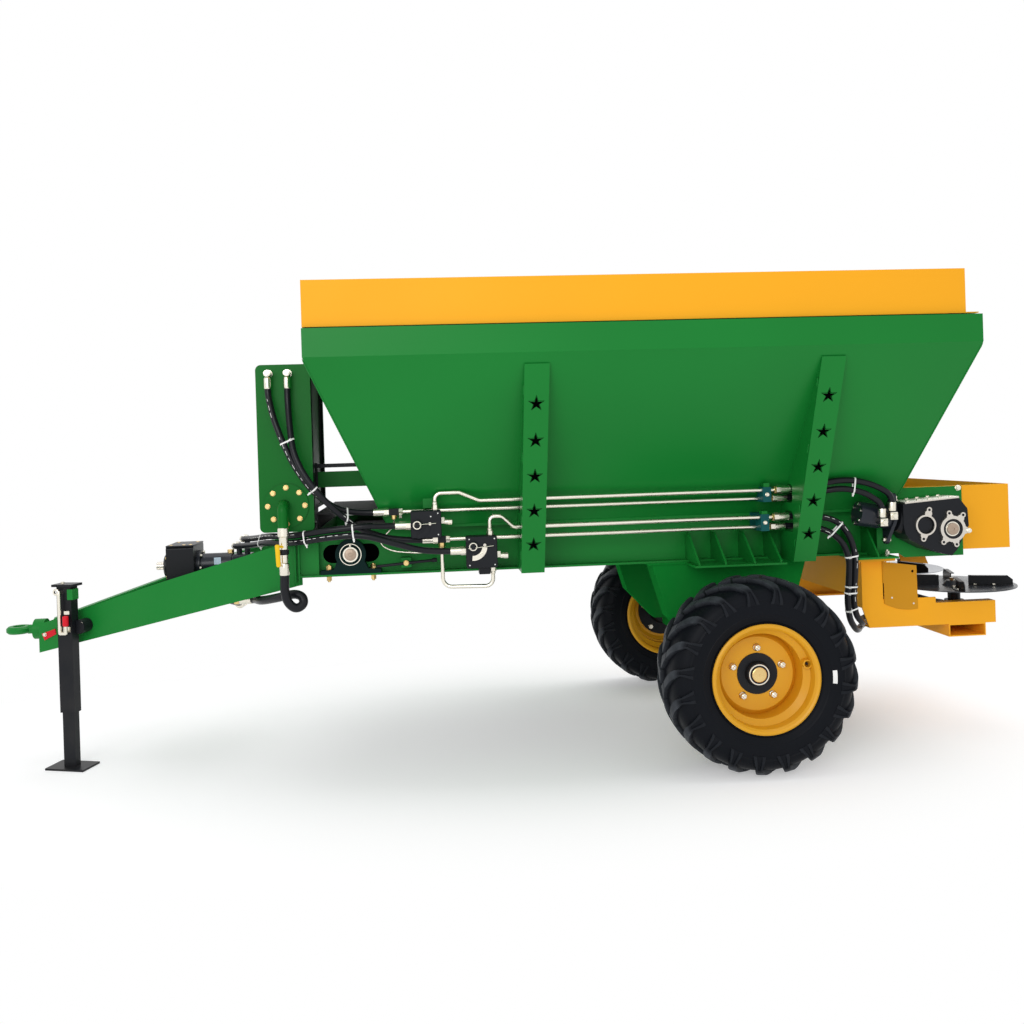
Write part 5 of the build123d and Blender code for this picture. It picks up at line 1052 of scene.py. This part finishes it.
class SPREADER_OT_jack(bpy.types.Operator):
    """Jack head, pins, crank, grip, swivel flange and blank plate, and the bolt of the nose tab"""
    bl_idname = "spreader.jack"
    bl_label = "Jack details"

    def execute(self, context):
        zinc, gold = bolt(on_jack(-20, 0, 775), UP, 13), []
        zinc.append(plate(rounded(13, 8, 3), 0, 9, on_jack(16, 22, 656), JACK_FACE, 1.5))
        zinc.append(plate(rounded(17, 12, 1.5), 0, 1.2, on_jack(10, 22, 584), JACK_FACE, 0.2))
        corners, between = np.array([on_jack(*row) for row in JACK_CRANK]), np.linspace(0, 1, 7)[None, :-1, None]
        bend = (1 - between) * corners[:-1, None] + between * corners[1:, None]
        bend = softened(np.concatenate([bend.reshape(-1, 3), corners[-1:]]), 3)
        crank = [swept(bend, 7.2, upright=JACK_OUT + (0, 0.01, 0.02), sides=16),
                 band(on_jack(-24, 34, 744), JACK_OUT, 0, 8, 7, 14.5, 32, 2)]
        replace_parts(piece("crank_handle", crank, "zinc_steel", "jack", sharp=50), "jack_crank")
        grip = [turned([(0, 8.5), (2, 11), (6, 12), (38, 12), (42, 11), (44, 8.5)], on_jack(18, 40, 601), UP, 28)]
        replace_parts(piece("crank_knob", grip, "red_paint", "jack", sharp=50), "crank_grip")
        for shapes, v in ((zinc, 0.25 * pi), (gold, 1.5 * pi)):
            place = SWIVEL + 56 * JACK_OUT + 23 * cos(v) * JACK_ALONG + np.array([0, 0, 23 * sin(v)])
            shapes += bolt(place, JACK_OUT, 11, washer=False)
        v = 2 * pi * np.arange(40) / 40
        disc = np.stack([np.maximum(29 * np.cos(v), -9), 29 * np.sin(v)], 1)
        piece("jack_zinc", zinc, "zinc_steel", "jack")
        piece("jack_gold", gold, "gold_zinc", "jack")
        piece("jack_flange", [plate(disc, 54, 61, SWIVEL, JACK_FACE, 1.5)], "black_paint", "jack")
        tab = np.array([-2917, -(90 + FLARE * 33), 546]) + 5.2 * JACK_OUT
        piece("tab_bolt", bolt(tab, JACK_OUT, 13), "zinc_steel")
        return {"FINISHED"}


# ---------------------------------------------------------------- pipe clamps and spinner
class SPREADER_OT_clamps(bpy.types.Operator):
    """Bolts and tabs of the pipe clamps, pins and screws of the guide plates, bolts of the vanes"""
    bl_idname = "spreader.clamps"
    bl_label = "Clamp and spinner bolts"

    def execute(self, context):
        zinc, gold, green = [], [], []
        for x, z, rise in ((122, 1065, 18), (110, 951, 21)):
            zinc += bolt((x, -582, z), OUT, 13)
            gold += [hexagon((x + 33, y, z + rise * way), AFT, 27, 0, 12) for y, way in ((-566, 1), (-523, -1))]
            green.append(plate(rounded(12, 9, 2), 0, 30, (x, -548, z + 38), NEAR, 0.6))
        piece("clamp_zinc", zinc, "zinc_steel")
        piece("clamp_gold", gold, "gold_zinc")
        piece("clamp_tabs", green, "green_paint")
        dots = [stud((x, -454, z), OUT, 4, 0.6) for x, z in ((795, 572), (700, 600))]
        # hinge pin and filler plate in the painted-shade yellow of the shaded guide plates
        pins = [turned([(0, 5), (1, 6.5), (97, 6.5), (98, 5)], (667, -449, 663), UP, 20),
                plate([(655, 752), (745, 752), (745, 772), (655, 772)], 402, 406, (0, 0, 0), NEAR, 0.5)]
        piece("guide_pins", both_sides(pins), "painted_shade_yellow")
        piece("guide_screws", both_sides(dots), "bare_steel")
        for side, name in ((-1, "left"), (1, "right")):
            shapes = [hexagon((1070, side * 290, 637), UP, 30, -0.3, 12)]
            for v in np.radians(90 * np.arange(4) + 20) * side:
                along, beside = np.array([cos(v), sin(v), 0]), np.array([-sin(v), cos(v), 0]) * side
                for reach in (84, 160):
                    place = np.array([1070, side * 290, 619.4]) + reach * along + 12 * beside
                    shapes += bolt(place, UP, 13, washer=False)
            piece(f"vane_bolts_{name}", shapes, "zinc_steel", f"spinner_{name}")
        return {"FINISHED"}


# ---------------------------------------------------------------- welds
HOPPER_FOOT, HOPPER_TOP = 980, 1631
SIDE_SLOPE = (948 - 446.73) / (HOPPER_TOP - HOPPER_FOOT)


def side_at(z):
    return 948 - SIDE_SLOPE * (HOPPER_TOP - z)


def weld(start, end, upright=(0, 1, 0)):
    """A bead between two points: an oval section whose half width swings by a tenth, the ripple
    being sin of the distance over the bead's pitch."""
    half = bpy.context.scene.spreader_fittings.weld * 1000
    start, end = np.array(start, float), np.array(end, float)
    length = np.linalg.norm(end - start)
    t = np.linspace(0, 1, max(8, int(length / 4)))
    width = half * (0.92 + 0.1 * np.sin(t * length * 2 * pi / 11)) * np.minimum(1, 40 * np.minimum(t, 1 - t) + 0.3)
    return swept(start + t[:, None] * (end - start), width, 0.8 * width, upright, 8)


POST_FOOT, POST_TOP = 788, 1591
POST_LEAN = (side_at(POST_TOP) - 584) / (POST_TOP - POST_FOOT)
POSTS = (-847, 267)


class SPREADER_OT_stars(bpy.types.Operator):
    """Painted shade in the star cut-outs of the posts: near-black discs behind the cut-outs, and near-black rims
    round them
    """
    bl_idname = "spreader.stars"
    bl_label = "Star painted shade"

    def execute(self, context):
        shapes, rims = [], []
        out, up = unit((0, -1, -POST_LEAN)), unit((0, -POST_LEAN, 1))
        turn, reach = radians(36) * np.arange(10)[:, None], np.tile([1, 0.382], 5)[:, None]
        star = reach * (np.sin(turn) * (1, 0, 0) + np.cos(turn) * up)
        rows = ((-0.4, 33), (0.3, 33), (0.3, 27.9), (-0.4, 27.9))       # level over the face, size of the star
        for station in POSTS:
            for z in 1449 - 136 * np.arange(5):
                face = np.array([station, -(590 + POST_LEAN * (z - POST_FOOT)), z])
                back = face + (0, 5 * np.hypot(1, POST_LEAN), 0)
                shapes.append(turned([(-1.2, 30), (-1.0, 31), (-0.2, 31), (-0.05, 30)], back, out, 36))
                rims.append(skin(np.stack([face + level * out + size * star for level, size in rows]), wrap=True))
        # painted shade: the dark of the hollow posts seen through the star cut-outs
        piece("star_shade_discs", both_sides(shapes), "hollow")
        piece("star_shade_rims", both_sides(rims), "hollow")
        return {"FINISHED"}


class SPREADER_OT_welds(bpy.types.Operator):
    """Weld beads along the seams of the hopper, posts and brackets"""
    bl_idname = "spreader.welds"
    bl_label = "Welds"

    def execute(self, context):
        height = HOPPER_TOP - HOPPER_FOOT
        shapes = [weld((-1680, -944.2, 1630), (826, -944.2, 1630)), weld((-1410, -448, 980), (702, -448, 980))]
        for low, top in ((-1687 + 0.415 * height, -1687), (833 - 0.19 * height, 833)):
            shapes.append(weld((low, -side_at(980), 980), (top, -side_at(1626), 1626)))
        for x in (station + edge for station in POSTS for edge in (-46.5, 46.5)):
            for z in (846, 990, 1230, 1480):
                y = -585 - (side_at(POST_TOP) - 580) * (z - POST_FOOT) / (POST_TOP - POST_FOOT)
                shapes.append(weld((x, y + 8, z), (x, y - 4, z + 36)))
        for x in (-170, -60, 60, 170, 512, 600):
            shapes.append(weld((x - 4.5, -462, 790), (x - 4.5, -580 if x < 400 else -545, 790)))
        piece("weld_beads", both_sides(shapes), "green_paint", sharp=60)
        return {"FINISHED"}


# ---------------------------------------------------------------- stage
CAMERA_PLACE = (-0.391, -4.343, 1.287)
CAMERA_LENS = 33.36         # millimetres, on a 36 mm sensor
CAMERA_YAW, CAMERA_PITCH, CAMERA_ROLL = 0.0777, 0.0018, 0.0319
CAMERA_SHIFT = (0.02041, -0.06009)


def camera_turn():
    """Columns right, up, back: a forward line from yaw and pitch, then a roll about it."""
    forward = np.array([sin(CAMERA_YAW) * cos(CAMERA_PITCH), cos(CAMERA_YAW) * cos(CAMERA_PITCH),
                        -sin(CAMERA_PITCH)])
    level = np.array([cos(CAMERA_YAW), -sin(CAMERA_YAW), 0])
    below = np.cross(forward, level)
    right = cos(CAMERA_ROLL) * level + sin(CAMERA_ROLL) * below
    down = -sin(CAMERA_ROLL) * level + cos(CAMERA_ROLL) * below
    return np.stack([right, -down, -forward], axis=1)


def area_light(name, place, aim, size, power):
    lamp = bpy.data.lights.new(name, "AREA")
    lamp.shape = "RECTANGLE"
    lamp.size, lamp.size_y = size
    lamp.energy = power
    obj = bpy.data.objects.new(name, lamp)
    bpy.context.scene.collection.objects.link(obj)
    forward = unit(np.array(aim, float) - np.array(place, float))
    right = unit(np.cross(forward, UP))
    turn = np.stack([right, np.cross(right, forward), -forward], axis=1)
    obj.matrix_world = Matrix.Translation(place) @ Matrix(turn.tolist()).to_4x4()
    return obj


def floor_material():
    """Pale floor whose colour gives way to plain white light with distance from the machine."""
    material = bpy.data.materials.new("floor")
    material.use_nodes = True
    tree = material.node_tree
    shader = tree.nodes["Principled BSDF"]
    shader.inputs["Roughness"].default_value = 1.0
    shader.inputs["Specular IOR Level"].default_value = 0.0
    shader.inputs["Emission Color"].default_value = (1, 1, 1, 1)
    place = tree.nodes.new("ShaderNodeTexCoord").outputs["Object"]
    split = tree.nodes.new("ShaderNodeSeparateXYZ")
    tree.links.new(place, split.inputs["Vector"])
    x, y = math(tree, "DIVIDE", split.outputs["X"], 2.2), split.outputs["Y"]
    reach = math(tree, "SQRT", math(tree, "ADD", math(tree, "MULTIPLY", x, x), math(tree, "MULTIPLY", y, y)))
    fade = remap(tree, reach, 0.7, 1.55)
    tree.links.new(colour_mix(tree, fade, (0.92, 0.92, 0.93), (0.0, 0.0, 0.0)), shader.inputs["Base Color"])
    tree.links.new(remap(tree, fade, 0, 1, 0.2, 1.0), shader.inputs["Emission Strength"])
    return material


class SPREADER_OT_stage(bpy.types.Operator):
    """Lay the pale floor, light it softly and stand the camera"""
    bl_idname = "spreader.stage"
    bl_label = "Stage"

    def execute(self, context):
        stage = context.scene.spreader_stage
        scene = context.scene
        scene.view_settings.view_transform = "Standard"
        half = stage.floor_size / 2
        mesh = bpy.data.meshes.new("floor")
        mesh.from_pydata([(-half, -half, -0.001), (half, -half, -0.001), (half, half, -0.001),
                          (-half, half, -0.001)], [], [(0, 1, 2, 3)])
        floor = bpy.data.objects.new("floor", mesh)
        scene.collection.objects.link(floor)
        mesh.materials.append(floor_material())

        world = bpy.data.worlds.new("studio")
        world.use_nodes = True
        tree = world.node_tree
        back = tree.nodes["Background"]
        path = tree.nodes.new("ShaderNodeLightPath")
        seen = math(tree, "MAXIMUM", path.outputs["Is Camera Ray"],
                    math(tree, "MAXIMUM", path.outputs["Is Glossy Ray"], path.outputs["Is Transmission Ray"]))
        back.inputs["Color"].default_value = (1, 1, 1, 1)
        tree.links.new(remap(tree, seen, 0, 1, stage.world, 1.0), back.inputs["Strength"])
        scene.world = world

        area_light("key", (-2.4, -7.0, 3.2), (0.3, 0, 0.8), (5, 3), stage.key)
        area_light("top", (0.5, 0.5, 6.5), (0.3, 0, 0.9), (7, 5), stage.fill)
        area_light("rear", (5.5, 3.0, 4.0), (0.6, 0, 0.9), (4, 3), stage.fill * 0.5)

        camera = bpy.data.cameras.new("camera")
        camera.sensor_width = 36
        camera.lens = CAMERA_LENS
        camera.shift_x, camera.shift_y = CAMERA_SHIFT
        obj = bpy.data.objects.new("camera", camera)
        scene.collection.objects.link(obj)
        obj.matrix_world = Matrix.Translation(CAMERA_PLACE) @ Matrix(camera_turn().tolist()).to_4x4()
        scene.camera = obj
        return {"FINISHED"}


# ---------------------------------------------------------------- panel and run
OPERATORS = [
    SPREADER_OT_paintwork, SPREADER_OT_tyres, SPREADER_OT_wheels, SPREADER_OT_frame_bolts,
    SPREADER_OT_hose_trim, SPREADER_OT_valves, SPREADER_OT_drive, SPREADER_OT_bearing,
    SPREADER_OT_tank, SPREADER_OT_input, SPREADER_OT_jack, SPREADER_OT_clamps, SPREADER_OT_stars,
    SPREADER_OT_welds, SPREADER_OT_stage,
]
SETTINGS = {"spreader_paint": SpreaderPaint, "spreader_tread": SpreaderTread,
            "spreader_fittings": SpreaderFittings, "spreader_stage": SpreaderStage}


class SPREADER_PT_panel(bpy.types.Panel):
    """Steps that dress the machine"""
    bl_label = "Manure spreader"
    bl_idname = "SPREADER_PT_panel"
    bl_space_type = "VIEW_3D"
    bl_region_type = "UI"
    bl_category = "Spreader"

    def draw(self, context):
        for name in SETTINGS:
            settings = getattr(context.scene, name)
            for field in settings.__annotations__:
                self.layout.prop(settings, field)
        for operator in OPERATORS:
            self.layout.operator(operator.bl_idname)


def register():
    for cls in (*SETTINGS.values(), *OPERATORS, SPREADER_PT_panel):
        bpy.utils.register_class(cls)
    for name, cls in SETTINGS.items():
        setattr(bpy.types.Scene, name, bpy.props.PointerProperty(type=cls))


def unregister():
    for name in SETTINGS:
        delattr(bpy.types.Scene, name)
    for cls in reversed((*SETTINGS.values(), *OPERATORS, SPREADER_PT_panel)):
        bpy.utils.unregister_class(cls)


def main():
    register()
    for operator in OPERATORS:
        group, name = operator.bl_idname.split(".")
        getattr(getattr(bpy.ops, group), name)()


if __name__ == "__main__":
    main()
